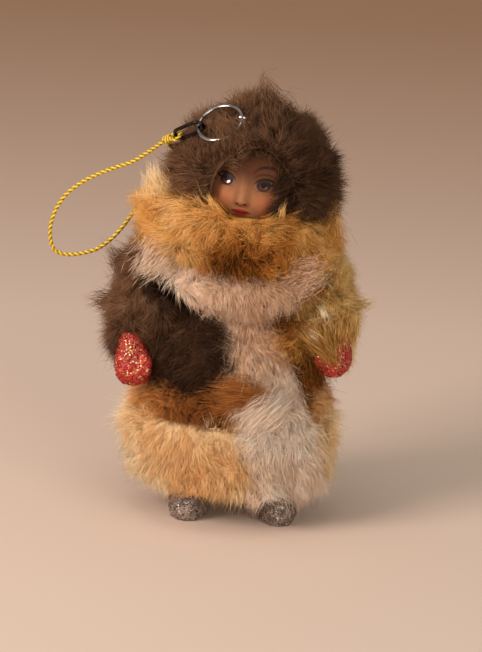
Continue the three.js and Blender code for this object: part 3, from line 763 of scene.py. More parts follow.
@dataclass(frozen=True)
class MetalFinish:
    """Drawn wire, bright or dull, with fine drawing marks."""

    name: str
    dark: Colour
    light: Colour
    roughness: float

    @cache
    def material(self) -> Material:
        """Makes the metal's material.

        Returns:
            The material, the same one at each call.
        """
        shade = Shade(f"{self.name}_look")
        place = shade.place()
        marks, worn = shade.noise(place, 1400.0, 5.0), shade.noise(place, 300.0, 2.0)
        return shade.done({
            "Base Color": shade.ramp(worn, [(0.3, self.dark), (0.7, self.light)]),
            "Metallic": 1.0,
            "Roughness": shade.rescale(marks, self.roughness * 0.6, self.roughness * 1.5),
            "Normal": shade.bump(marks, 0.1, 0.0001),
        })


BRIGHT_METAL = MetalFinish("bright_metal", srgb(150, 144, 142), srgb(214, 208, 204), 0.14)
BLACKED_METAL = MetalFinish("blacked_metal", srgb(38, 34, 34), srgb(74, 68, 66), 0.2)
FRAME_WIRE = MetalFinish("frame_wire", srgb(92, 86, 80), srgb(146, 138, 130), 0.34)


@dataclass(frozen=True)
class GlitterFinish:
    """Glitter pasted on a painted form: the ground between the flakes, and the flakes' colours."""

    name: str
    ground: tuple[Colour, Colour]
    flakes: tuple[Colour, ...]

    @cache
    def ground_material(self) -> Material:
        """Makes the painted ground, sown with flakes too small to model.

        Returns:
            The material, the same one at each call.
        """
        shade = Shade(f"{self.name}_ground")
        place = shade.place()
        grains = shade.add("TexVoronoi", {"Vector": place, "Scale": 3200.0})
        chance, tint, _ = shade.split(grains.outputs["Color"])
        paint = shade.noise(place, 420.0, 4.0)
        base = shade.ramp(paint, [(0.3, self.ground[0]), (0.7, self.ground[1])])
        spark = shade.palette(tint, (self.flakes[0], self.flakes[-1]))
        shown = shade.maths("GREATER_THAN", chance, 0.8)
        return shade.done({
            "Base Color": shade.mix(shown, base, spark),
            "Roughness": shade.rescale(shown, 0.5, 0.24),
            "Metallic": shade.maths("MULTIPLY", shown, 0.7),
            "Normal": shade.bump(grains.outputs[0], 0.6, 0.0002),
        })

    @cache
    def flake_material(self) -> Material:
        """Makes the flakes' foil, whose colour is read across each flake's map.

        Returns:
            The material, the same one at each call.
        """
        shade = Shade(f"{self.name}_flakes")
        across, up, _ = shade.split(shade.spot(FUR_MAP))
        return shade.done({
            "Base Color": shade.palette(across, self.flakes),
            "Roughness": shade.rescale(up, 0.12, 0.28),
            "Metallic": 0.85,
        })


RED_GLITTER = GlitterFinish(
    "red_glitter",
    (srgb(134, 18, 18), srgb(190, 40, 36)),
    (
        srgb(150, 20, 22), srgb(196, 40, 38), srgb(214, 66, 52), srgb(236, 170, 84),
        srgb(255, 228, 160),
    ),
)
SILVER_GLITTER = GlitterFinish(
    "silver_glitter",
    (srgb(92, 74, 66), srgb(160, 136, 122)),
    (
        srgb(84, 68, 60), srgb(146, 122, 109), srgb(204, 179, 162), srgb(240, 220, 204),
        srgb(255, 248, 238),
    ),
)


@dataclass(frozen=True)
class CordFinish:
    """Gold thread in two twisted strands, with painted shade in the groove between them and a
    painted highlight on their crests.
    """

    name: str = "gold_cord"
    crest_highlight: Colour = srgb(250, 216, 60)
    body: Colour = srgb(228, 184, 44)
    groove: Colour = srgb(150, 100, 22)
    shadow: Colour = (0.62, 0.6, 0.52)

    @cache
    def material(self) -> Material:
        """Makes the cord's material, which follows the twist by the cord's own map.

        Returns:
            The material, the same one at each call.
        """
        shade = Shade(f"{self.name}_look")
        spot = shade.spot(CORD_MAP)
        wave = shade.maths("COSINE", shade.maths("MULTIPLY", shade.split(spot)[0], 4 * math.pi))
        high = shade.add("MapRange", {"Value": wave, "From Min": -1.0}).outputs[0]
        # Painted shade in the groove and a painted highlight on the crests; the threads get painted
        # shadow between them.
        strands = shade.ramp(high, [(0.0, self.groove), (0.45, self.body), (1.0, self.crest_highlight)])
        fine = shade.add("Mapping", {"Vector": spot, "Scale": (26.0, 300.0, 1.0)})
        threads = shade.noise(fine.outputs[0], 1.0, 4.0)
        shadow = shade.ramp(threads, [(0.32, self.shadow), (0.62, (1.0, 1.0, 1.0))])
        return shade.done({
            "Base Color": shade.mix(1.0, strands, shadow, "MULTIPLY"),
            "Metallic": 0.25,
            "Roughness": 0.38,
            "Normal": shade.bump(threads, 0.4, 0.0002),
        })


# Fur


class Flow(Enum):
    """Which way a piece's hairs lie."""

    ALONG = "along one direction"
    AWAY = "away from a point"


@dataclass(frozen=True)
class Patch:
    """A place where the fur is darker or paler than the rest of its piece, by its own colour or as
    painted light or shade.
    """

    centre: Point
    reach: float
    tone: float


@dataclass(frozen=True)
class Tuft:
    """A bunch of longer hairs sewn onto a piece, its tips drawn together or fanned out."""

    root: Point
    reach: float
    lead: Point
    hairs: int
    length: float
    tone: float
    gather: float = 0.75

    def aims(self, spread: Rows) -> Rows:
        """The direction of each hair whose root lies a given way from the tuft's middle."""
        lead = np.array(self.lead) / np.linalg.norm(self.lead)
        return unit(lead * self.length - spread * self.gather)


class Brush:
    """Something that the fur gives way to."""

    def brush(self, places: Rows, ease: Rows) -> Rows:
        """Moves points of hairs to where they may lie.

        Args:
            places: Points in millimetres, one row each.
            ease: How far each one gives way, from 0 to 1, so that the hairs differ.

        Returns:
            The moved points.
        """
        raise NotImplementedError


@dataclass(frozen=True)
class Opening(Brush):
    """A place that the fur is brushed away from, such as the front of a hand or of the face."""

    centre: Point
    half_width: float
    half_height: float
    depth: float
    lean: float = 0.0
    unevenness: float = 0.5

    def brush(self, places: Rows, ease: Rows) -> Rows:
        """Moves points in front of the opening out to its edge, and past it by their ease.

        Args:
            places: Points in millimetres, one row each.
            ease: How far past the edge each one goes, from 0 to 1, where 0.4 is at the edge.

        Returns:
            The points, few of them in the opening.
        """
        away = places - np.array(self.centre)
        cos, sin = math.cos(self.lean), math.sin(self.lean)
        across = (away[:, 0] * cos - away[:, 2] * sin) / self.half_width
        up = (away[:, 0] * sin + away[:, 2] * cos) / self.half_height
        behind = np.maximum(away[:, 1], 0) / self.depth
        apart = np.sqrt(across**2 + up**2 + behind**2)
        edge = 1 + self.unevenness * (ease - 0.4)
        push = np.where(apart < edge, edge / np.maximum(apart, 0.2), 1.0)
        across, up = across * push * self.half_width, up * push * self.half_height
        brushed = places.copy()
        brushed[:, 0] = self.centre[0] + across * cos + up * sin
        brushed[:, 2] = self.centre[2] - across * sin + up * cos
        return brushed


@dataclass(frozen=True)
class Press(Brush):
    """A place where a ring lies on the fur and holds it down."""

    centre: Point
    way: Point
    radius: float
    below: float = 0.6
    fade: float = 3.6
    slope: float = 0.55

    def brush(self, places: Rows, ease: Rows) -> Rows:
        """Lays points under the ring, deeper by their ease, and less so beside it.

        Args:
            places: Points in millimetres, one row each.
            ease: How much deeper than needed each one lies, from 0 to 1.

        Returns:
            The points, none of them above the ring.
        """
        way = np.array(self.way) / np.linalg.norm(self.way)
        away = places - np.array(self.centre)
        height = away @ way
        apart = np.linalg.norm(away - height[:, None] * way, axis=1)
        most = self.slope * np.maximum(apart - self.radius, 0) - self.below - 0.6 * ease
        over = np.where(apart < self.radius + self.fade, np.maximum(height - most, 0), 0)
        return places - over[:, None] * way


@dataclass(frozen=True)
class Drape(Brush):
    """A rounded form, such as a hand, that the fur over it lies on."""

    centre: Point
    radii: Point

    def brush(self, places: Rows, ease: Rows) -> Rows:
        """Lifts points out of the form onto its face, and above it by their ease.

        Args:
            places: Points in millimetres, one row each.
            ease: How far above the face each one comes to lie, from 0 to 1.

        Returns:
            The points, none of them in the form.
        """
        away = (places - np.array(self.centre)) / np.array(self.radii)
        apart = np.linalg.norm(away, axis=1)
        edge = 1.02 + 0.12 * ease
        push = np.where(apart < edge, edge / np.maximum(apart, 0.2), 1.0)
        return np.array(self.centre) + away * push[:, None] * np.array(self.radii)


@dataclass
class FurPiece:
    """One piece of fur: a hide inside its solid, and thousands of hairs that grow from it."""

    node: str
    finish: FurFinish
    hairs: int
    length: float
    lift: float
    flow: Flow
    lead: Point
    inset: float = 1.6
    droop: float = 0.15
    frizz: float = 0.32
    swirl: float = 0.5
    lock_size: float = 2.3
    lock_pull: float = 0.4
    lock_tilt: float = 0.28
    width: float = 0.088
    smooth: int = 8
    tone: float = 0.5
    patches: tuple[Patch, ...] = ()
    tufts: tuple[Tuft, ...] = ()
    openings: tuple[Brush, ...] = ()
    seed: int = SEED

    def tones(self, places: Rows) -> Rows:
        """How pale the fur is at each place.

        Args:
            places: Points in millimetres, one row each.

        Returns:
            A tone from 0, darkest, to 1, palest, for each point.
        """
        weight = np.full(len(places), PIECE_WEIGHT)
        total = weight * self.tone
        for patch in self.patches:
            apart = np.linalg.norm(places - np.array(patch.centre), axis=1)
            share = np.exp(-((apart / patch.reach) ** 2)) * PATCH_WEIGHT
            weight = weight + share
            total = total + share * patch.tone
        clouds = sum(
            depth * waves(places, size, self.seed + shift) for depth, size, shift in TONE_CLOUDS
        )
        return total / weight + clouds

    def skin(self, nodes: Nodes) -> Piece:
        """Makes the hide: the solid's form, rounded and drawn in to where the hairs grow.

        Args:
            nodes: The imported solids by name.

        Returns:
            The hide.
        """
        piece = rounded_copy(self.node, f"{self.node}_fur", HIDE_VOXEL, self.smooth, nodes)
        wall = BVHTree.FromObject(piece, bpy.context.evaluated_depsgraph_get())
        places, facing = points_of(piece.data), normals_of(piece.data)
        drawn = np.empty(len(places))
        for i, (place, way) in enumerate(zip(places, facing)):
            start = Vector(place - way * START_DEPTH * MM)
            through = wall.ray_cast(start, Vector(-way), WALL_REACH * MM)[3]
            drawn[i] = min(self.inset * MM, WALL_SHARE * through if through else MM)
        push_out(piece.data, -drawn)
        add_modifier(piece, "SMOOTH", factor=0.5, iterations=4)
        return piece

    def open_faces(self, skin: Piece, around: BVHTree) -> tuple[Rows, Rows]:
        """Finds the faces of the hide that no neighbour lies against.

        Args:
            skin: The hide.
            around: The other solids.

        Returns:
            The corner numbers of each open triangle, and the triangles' areas.
        """
        mesh = skin.data
        mesh.calc_loop_triangles()
        corners = np.empty(len(mesh.loop_triangles) * 3, np.int32)
        mesh.loop_triangles.foreach_get("vertices", corners)
        corners = corners.reshape(-1, 3)
        places = points_of(mesh)[corners]
        across = np.cross(places[:, 1] - places[:, 0], places[:, 2] - places[:, 0])
        areas = np.linalg.norm(across, axis=1) / 2
        facing = unit(normals_of(mesh)[corners].mean(1))
        reach = (self.inset + FREE_REACH) * MM
        free = [
            around.ray_cast(Vector(c), Vector(n), reach)[0] is None
            for c, n in zip(places.mean(1), facing)
        ]
        return corners[free], areas[free]

    def roots(self, skin: Piece, around: BVHTree, rng: Chance) -> tuple[Rows, Rows]:
        """Spreads the hairs' roots evenly over the open hide.

        Args:
            skin: The hide.
            around: The other solids.
            rng: The source of chance.

        Returns:
            Each root's place in millimetres, and the direction that the hide faces there.
        """
        corners, areas = self.open_faces(skin, around)
        picked = rng.choice(len(corners), self.hairs, p=areas / areas.sum())
        shares = rng.dirichlet((1, 1, 1), self.hairs)[:, :, None]
        places = (points_of(skin.data)[corners[picked]] * shares).sum(1) / MM
        facing = unit((normals_of(skin.data)[corners[picked]] * shares).sum(1))
        return places, facing

    def lie(self, roots: Rows, facing: Rows) -> Rows:
        """The direction in which each hair leaves its root, once combed.

        Args:
            roots: The hairs' roots in millimetres.
            facing: The direction that the hide faces at each root.

        Returns:
            One direction for each hair.
        """
        lead = np.array(self.lead, float)
        if self.flow is Flow.AWAY:
            way = roots - lead
        else:
            way = np.broadcast_to(lead, roots.shape)
        way = unit(way)
        way = unit(way - facing * (way * facing).sum(1, keepdims=True))
        rise = math.radians(self.lift)
        combed = facing * math.sin(rise) + way * math.cos(rise) + np.array((0, 0, -self.droop))
        return unit(combed + swirl(roots, SWIRL_SIZE, self.seed) * self.swirl)

    def locks(self, roots: Rows, rng: Chance) -> tuple[Rows, Rows]:
        """Gathers the hairs into locks.

        Args:
            roots: The hairs' roots in millimetres.
            rng: The source of chance.

        Returns:
            The number of each hair's lock, and the number of the hair that leads each lock.
        """
        spread = np.ptp(roots, axis=0)
        surface = 2 * (spread[0] * spread[1] + spread[1] * spread[2] + spread[2] * spread[0])
        count = max(FEWEST_LOCKS, int(LOCK_SHARE * surface / self.lock_size**2))
        leads = rng.choice(len(roots), count, replace=False)
        tree = KDTree(count)
        for i, lead in enumerate(leads):
            tree.insert(roots[lead], i)
        tree.balance()
        return np.array([tree.find(root)[1] for root in roots]), leads

    def strands(self, roots: Rows, facing: Rows, rng: Chance) -> tuple[Rows, Rows]:
        """Bends each hair from its root to its tip.

        Args:
            roots: The hairs' roots in millimetres.
            facing: The direction that the hide faces at each root.
            rng: The source of chance.

        Returns:
            Three places for each hair, root, middle and tip, and each hair's tone.
        """
        count = len(roots)
        roots, facing = roots.copy(), facing.copy()
        sewn = [rng.choice(count, tuft.hairs, replace=False) for tuft in self.tufts]
        for tuft, taken in zip(self.tufts, sewn):
            spread = rng.normal(size=(tuft.hairs, 3)) * tuft.reach / 2
            roots[taken] = np.array(tuft.root) + spread
            facing[taken] = tuft.aims(spread)
        lock, leads = self.locks(roots, rng)
        tilt = rng.normal(size=(len(leads), 3)) * self.lock_tilt
        way = self.lie(roots, facing) + tilt[lock] + rng.normal(size=(count, 3)) * self.frizz
        tone = self.tones(roots) + rng.normal(size=count) * HAIR_TONE
        tone += (rng.normal(size=len(leads)) * LOCK_TONE)[lock]
        reach = self.length * rng.uniform(*HAIR_REACH, count)
        reach *= np.where(rng.random(count) < STRAY_SHARE, STRAY_REACH, 1.0)
        reach *= rng.uniform(*LOCK_REACH, len(leads))[lock]
        for tuft, taken in zip(self.tufts, sewn):
            way[taken] = facing[taken] + rng.normal(size=(tuft.hairs, 3)) * self.frizz * SEWN_FRIZZ
            reach[taken] = tuft.length * rng.uniform(*SEWN_REACH, tuft.hairs)
            tone[taken] = tuft.tone + rng.normal(size=tuft.hairs) * SEWN_TONE
        way = unit(way)
        below = (way * facing).sum(1, keepdims=True)
        way = unit(way + facing * np.maximum(LEAST_RISE - below, 0))
        tips = roots + way * reach[:, None]
        gathered = tips[leads][lock] + (roots - roots[leads][lock]) * LOCK_SPREAD
        pull = (self.lock_pull * rng.uniform(*LOCK_PULLS, count))[:, None]
        tips = tips + (gathered - tips) * np.minimum(pull, MOST_PULL)
        bend = roots + unit(facing * BEND_OUT + way) * reach[:, None] * 0.5
        middles = 0.25 * roots + 0.5 * bend + 0.25 * tips
        middles = middles + rng.normal(size=(count, 3)) * reach[:, None] * HAIR_WAVER
        ease = LOCK_EASE * rng.random(len(leads))[lock] + (1 - LOCK_EASE) * rng.random(count)
        for opening in self.openings:
            middles, tips = opening.brush(middles, ease), opening.brush(tips, ease)
        for places in (middles, tips):
            places[:, 2] = np.maximum(places[:, 2], GROUND + ease)
        low = roots - facing * ROOT_DEPTH
        return np.stack([low, middles, tips], 1), np.clip(tone, *TONE_RANGE)

    def spikes(self, name: str, paths: Rows, tone: Rows, rng: Chance) -> Piece:
        """Gives each hair a closed three-sided body and its place on the fur's map.

        Args:
            name: The new piece's name.
            paths: Root, middle and tip of each hair, in millimetres.
            tone: Each hair's tone.
            rng: The source of chance.

        Returns:
            One object that holds all the hairs.
        """
        count = len(paths)
        way = unit(paths[:, 2] - paths[:, 0])
        side = unit(np.cross(way, rng.normal(size=(count, 3))))
        other = np.cross(way, side)
        thick = self.width / 2 * rng.uniform(*HAIR_WIDTHS, count)[:, None]
        places = np.empty((count, 5, 3))
        places[:, 0] = paths[:, 0]
        for corner in range(3):
            turn = 2 * math.pi * corner / 3
            out = side * math.cos(turn) + other * math.sin(turn)
            places[:, 1 + corner] = paths[:, 1] + out * thick
        places[:, 4] = paths[:, 2]
        faces = [(0, 2, 1), (0, 3, 2), (0, 1, 3), (1, 2, 4), (2, 3, 4), (3, 1, 4)]
        across = np.array((0.0, -1.0, 0.0, 1.0, 0.0)) * 0.008
        up = np.array((0.02, 0.5, 0.51, 0.5, 0.98))
        piece = sow(name, places, faces, (tone, np.zeros(count)), (across, up))
        smooth_faces(piece)
        return piece

    def map_skin(self, skin: Piece) -> None:
        """Gives the hide its place on the fur's map, at the hairs' roots.

        Args:
            skin: The hide.
        """
        mesh = skin.data
        tone = np.clip(self.tones(points_of(mesh) / MM), *TONE_RANGE)
        up = 0.01 + 0.02 * (np.arange(len(mesh.loops)) % 2)
        across = 0.01 * (np.arange(len(mesh.loops)) // 2 % 2)
        write_map(mesh, FUR_MAP, np.stack([tone[vertices_of(mesh)] + across, up], 1))

    def build(self, nodes: Nodes, around: BVHTree) -> None:
        """Makes the hide and its hairs, in as many objects as their number asks.

        Args:
            nodes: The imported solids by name.
            around: The solids next to this one.
        """
        rng = np.random.default_rng(self.seed)
        skin = self.skin(nodes)
        self.map_skin(skin)
        roots, facing = self.roots(skin, around, rng)
        paths, tone = self.strands(roots, facing, rng)
        order = np.argsort(roots[:, 1], kind="stable")
        shares = np.array_split(order, math.ceil(self.hairs / MOST_HAIRS))
        for i, share in enumerate(shares):
            hairs = self.spikes(f"{self.node}_hairs_{i}", paths[share], tone[share], rng)
            if i == 0:
                hairs = join([skin, hairs], f"{self.node}_fur")
            node = "" if i else self.node
            dress(hairs, self.finish.material(), "doll", node)
        LOG.info("%s: %d hairs in %d pieces", self.node, self.hairs, len(shares))


FACE_FRONT = (1.9, -14.0, 84.5)
FACE_SPACE = Opening((-1.6, -11.0, 83.4), 7.4, 8.2, 4.0, HEAD_LEAN)
CHIN_SPACE = Opening((1.2, -11.0, 88.5), 9.8, 10.1, 5.0, HEAD_LEAN, unevenness=0.25)
RIGHT_HAND_SPACE = Opening((-25.6, -12.0, 40.2), 5.2, 6.8, 3.0)
LEFT_HAND_FORM = Drape((24.6, -13.2, 45.4), (5.3, 4.5, 8.0))
RIGHT_FOOT_SPACE = Opening((-9.0, -9.0, 3.2), 5.9, 5.6, 5.0)
LEFT_FOOT_SPACE = Opening((12.2, -9.0, 3.4), 6.4, 6.0, 5.0)
RING_OUTER_PRESS = Press((-2.9, -7.7, 104.3), (-0.352, -0.541, 0.764), 3.4, fade=1.2)
RING_INNER_PRESS = Press((-10.8, -12.0, 97.6), (-0.352, -0.541, 0.764), 3.4, fade=1.2)
LINK_PRESS = Press((-16.2, -6.0, 97.0), (-0.637, -0.422, 0.645), 5.6)

FUR_PIECES = (
    FurPiece(
        "hood", DARK_FUR, 43000, 6.8, 60, Flow.AWAY, FACE_FRONT,
        inset=1.95, width=0.1, droop=0.1, tone=0.4, seed=1,
        openings=(FACE_SPACE, RING_OUTER_PRESS, RING_INNER_PRESS, LINK_PRESS),
        # Painted light and shade: the hood is darker on the doll's left, away from the key lamp,
        # and paler at the front on its right, towards it.
        patches=(
            Patch((20, -8, 88), 13, 0.18), Patch((-10, -12, 94), 11, 0.52),
            Patch((4, -8, 103), 9, 0.5),
        ),
        tufts=(
            Tuft((4.6, -2, 101), 6.4, (-0.15, -0.05, 1), 1500, 6.6, 0.52, gather=0.6),
            Tuft((-2.3, -14.2, 98.2), 3.6, (-0.69, 0.28, 0.66), 900, 5.2, 0.5, gather=0.1),
            Tuft((-6.4, -14.6, 95.6), 3.2, (-0.15, 0.31, 0.94), 700, 4.8, 0.5, gather=0.1),
            Tuft((11.5, -13.4, 88.5), 2.6, (-0.75, -0.45, -0.5), 800, 6.5, 0.12),
            Tuft((11.8, -13, 82), 2.6, (-0.8, -0.45, -0.1), 800, 6.5, 0.12),
        ),
    ),
    FurPiece(
        "collar", TAN_FUR, 41000, 7.7, 54, Flow.AWAY, (-1, 0, 73),
        inset=2.0, droop=0.3, tone=0.39, seed=2, openings=(CHIN_SPACE,),
        patches=(
            Patch((-19, -11, 75), 8, 0.62), Patch((-3, -20, 69), 6, 0.06),
            Patch((9, -20, 67), 4, 0.16),
            Patch((19, -9, 72), 9, 0.46), Patch((-12, -17, 77), 5, 0.66),
        ),
        tufts=(
            Tuft((9.3, -18.6, 79), 0.9, (0, 0.1, 1), 36, 6.0, 0.55, gather=0.4),
            Tuft((-20, -5, 78.5), 4.5, (-0.3, -0.1, 1), 900, 9.5, 0.8),
            Tuft((20, -6, 74.5), 4.5, (0.3, -0.1, 0.9), 600, 6.4, 0.5),
        ),
    ),
    FurPiece(
        "white_yoke", WHITE_FUR, 19000, 7.0, 30, Flow.ALONG, (0.1, -0.3, -1),
        inset=1.4, tone=0.4, seed=3, smooth=14,
        # Painted light and shadow: paler on the doll's right, towards the key lamp; the two dark
        # patches are the collar's shadow.
        patches=(
            Patch((-16, -13, 64), 5, 0.8), Patch((-5, -18, 60), 5, 0.15),
            Patch((9, -18, 61), 7, 0.0),
        ),
        tufts=(
            Tuft((-19, -10, 68), 5.5, (-0.5, -0.7, -0.5), 900, 7.0, 0.5, gather=0.1),
            Tuft((15, -17, 65.5), 5.0, (0.35, -0.6, 0.35), 800, 5.0, 0.16, gather=0.0),
        ),
    ),
    FurPiece(
        "right_sleeve", DARK_FUR, 24500, 8.0, 44, Flow.ALONG, (-0.4, -0.1, -0.8),
        inset=1.2, tone=0.38, seed=4, openings=(RIGHT_HAND_SPACE,),
        # Painted light and shade: paler on the outer side, towards the key lamp, darker on the
        # inner front.
        patches=(Patch((-27, -9, 55), 9, 0.58), Patch((-17, -14, 48), 7, 0.15)),
        tufts=(
            Tuft((-25.5, -2, 60.5), 4.0, (-0.75, -0.1, 0.7), 800, 9.5, 0.42),
            Tuft((-27, -2, 52.5), 4.0, (-1, -0.1, 0.1), 800, 9.0, 0.48),
            Tuft((-22.5, 0, 62.5), 4.0, (-0.4, -0.1, 0.9), 600, 9.0, 0.4),
            Tuft((-26, -11.8, 51), 2.6, (0.05, -0.4, -0.9), 600, 4.2, 0.36),
        ),
    ),
    FurPiece(
        "left_sleeve", OLIVE_FUR, 22500, 6.4, 42, Flow.ALONG, (0.2, -0.1, -1),
        inset=2.0, tone=0.5, seed=5, swirl=0.7, openings=(LEFT_HAND_FORM,),
        patches=(
            Patch((22.5, -12, 53), 2.6, 0.95), Patch((24, -10, 56), 2.2, 0.9),
            # Painted shadow: the dark patch low on the inner side, beside the mitten.
            Patch((19, -12, 42), 4, 0.0), Patch((29, -4, 55), 6, 0.58),
            Patch((25, -9, 61), 4, 0.35),
        ),
        tufts=(
            Tuft((27.5, -3, 55.5), 3.0, (1, -0.1, 0.3), 260, 7.0, 0.45),
            Tuft((19.6, -15, 51.6), 4.6, (0.55, -0.39, -0.7), 1800, 8.2, 0.26),
            Tuft((26, -12.6, 54), 3.6, (0.1, -0.5, -0.85), 900, 5.6, 0.36, gather=0.2),
            Tuft((20.5, -17, 58.4), 0.8, (3, -2, -4), 24, 5.5, 0.95, gather=0.0),
            Tuft((18.4, -18.3, 52.2), 1.2, (3.1, -1, -1.7), 30, 4.5, 0.95, gather=0.0),
        ),
    ),
    FurPiece(
        "right_arm_core", DARK_FUR, 4500, 6.0, 42, Flow.ALONG, (0.1, -0.2, -1),
        inset=0.6, tone=0.4, seed=12, openings=(RIGHT_HAND_SPACE,),
    ),
    FurPiece(
        "left_arm_core", OLIVE_FUR, 5000, 8.5, 34, Flow.ALONG, (0.1, -0.4, -1),
        inset=0.6, tone=0.55, seed=13, openings=(LEFT_HAND_FORM,),
        patches=(Patch((22, -11.5, 52.8), 2.4, 0.95),),
    ),
    FurPiece(
        "right_front", DARK_FUR, 15000, 7.6, 38, Flow.ALONG, (-0.15, 0, -1),
        inset=1.0, tone=0.14, seed=6, smooth=14,
        tufts=(
            Tuft((-7, -18.3, 50.5), 4.0, (0.8, -0.45, -0.2), 1000, 5.4, 0.08, gather=0.3),
            Tuft((-6.6, -18.3, 44.5), 4.0, (0.8, -0.45, -0.3), 900, 5.4, 0.05, gather=0.3),
        ),
    ),
    FurPiece(
        "left_front", TAN_FUR, 13000, 6.6, 40, Flow.ALONG, (0.2, 0, -1),
        inset=1.0, tone=0.4, seed=7, swirl=0.6, smooth=14,
        # Painted shadow: the second patch, low at the side below the mitten.
        patches=(Patch((10.3, -12.8, 53), 2.6, 0.0), Patch((19.4, -5, 39), 5, 0.0)),
        tufts=(
            Tuft((12, -14, 55), 3.0, (-0.4, -0.85, -0.2), 600, 5.0, 0.03),
            Tuft((12.5, -14, 48.5), 5.0, (-0.45, -0.85, -0.25), 900, 5.5, 0.35, gather=0.0),
            Tuft((18, -11.5, 45), 5.0, (0.25, -0.5, -0.8), 1100, 6.0, 0.03, gather=0.1),
        ),
    ),
    FurPiece(
        "coat_back", BROWN_FUR, 17000, 7.2, 38, Flow.ALONG, (0, 0, -1),
        inset=1.4, tone=0.5, seed=8, smooth=14,
    ),
    FurPiece(
        "white_front_band", WHITE_FUR, 24000, 8.0, 32, Flow.ALONG, (0.12, 0, -1),
        inset=0.8, tone=0.58, seed=9, smooth=20, openings=(LEFT_FOOT_SPACE,),
        # Painted shade: the band is darkened at its top, beside the dark front; lower down it is
        # paler.
        patches=(
            Patch((2.5, -17.7, 49), 8, 0.0), Patch((9, -20, 30), 8, 0.72),
            Patch((17, -18, 17), 7, 0.8),
        ),
        tufts=(Tuft((10.5, -20, 35), 4.4, (-7.6, -4, -7.4), 1600, 10.0, 0.72, gather=0.1),),
    ),
    FurPiece(
        "waist_band", BROWN_FUR, 16000, 6.6, 40, Flow.ALONG, (0, 0, -1),
        inset=1.2, tone=0.38, seed=10, smooth=14,
        patches=(
            Patch((-8, -21, 28), 6, 0.1), Patch((-24, -8, 31), 7, 0.8),
            Patch((22, -8, 32), 8, 0.85),
        ),
        tufts=(Tuft((-1.5, -21, 36), 5.0, (8.8, -2.5, 1.2), 1600, 9.0, 0.36),),
    ),
    FurPiece(
        "skirt", CREAM_FUR, 35500, 7.3, 36, Flow.ALONG, (0, 0, -1),
        inset=1.1, tone=0.64, seed=11, openings=(RIGHT_FOOT_SPACE, LEFT_FOOT_SPACE),
        patches=(
            Patch((-12, -20, 15), 5, 0.25), Patch((-16, -17, 24), 6, 0.45),
            Patch((-24, -9, 14), 6, 0.85),
            Patch((23, -9, 22), 8, 0.68), Patch((0, -21, 13), 4, 0.5),
            Patch((-4.4, -21, 18.5), 5, 0.3),
            Patch((-18, -16, 11.5), 4, 0.95),
        ),
    ),
)


def surroundings(nodes: Nodes, without: str) -> BVHTree:
    """The solids that may lie against a piece of fur, as one search tree.

    Args:
        nodes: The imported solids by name.
        without: The piece's own solid.

    Returns:
        The tree of all other still solids.
    """
    places: list[Vector] = []
    faces: list[list[int]] = []
    for name, node in nodes.items():
        if name == without or node["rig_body"] != "doll":
            continue
        first = len(places)
        places += [v.co.copy() for v in node.data.vertices]
        faces += [[first + i for i in p.vertices] for p in node.data.polygons]
    return BVHTree.FromPolygons(places, faces)


# Head


@dataclass(frozen=True)
class Swell:
    """A rounded rise or hollow on the face, at a place across and up from its middle."""

    across: float
    up: float
    wide: float
    high: float
    rise: float
    paired: bool = False

    def raise_by(self, across: Rows, up: Rows) -> Rows:
        """How much each point rises, in millimetres.

        Args:
            across: How far across from the face's middle each point is.
            up: How far above it each point is.

        Returns:
            One height for each point.
        """
        sides = (-1, 1) if self.paired else (1,)
        total = np.zeros(len(across))
        for side in sides:
            x = (across - side * self.across) / self.wide
            z = (up - self.up) / self.high
            total += self.rise * np.exp(-(x**2) - z**2)
        return total


FACE_FORMS = (
    Swell(0.0, 2.4, 1.2, 3.0, 0.7),
    Swell(0.0, -0.7, 1.35, 1.35, 1.15),
    Swell(1.05, -1.05, 0.7, 0.6, 0.4, True),
    Swell(0.0, -2.5, 0.8, 0.6, -0.18),
    Swell(0.8, -3.5, 1.1, 0.45, 0.34, True),
    Swell(0.0, -4.35, 1.5, 0.5, 0.42),
    Swell(0.0, -3.85, 2.0, 0.22, -0.24),
    Swell(0.0, -7.2, 2.8, 1.8, 0.6),
    Swell(5.2, -1.6, 3.2, 3.0, 0.5, True),
    Swell(4.7, 3.9, 3.0, 2.0, -0.8, True),
    Swell(4.7, 3.7, 1.9, 1.35, 0.7, True),
    Swell(4.4, 6.8, 3.4, 1.2, 0.25, True),
)


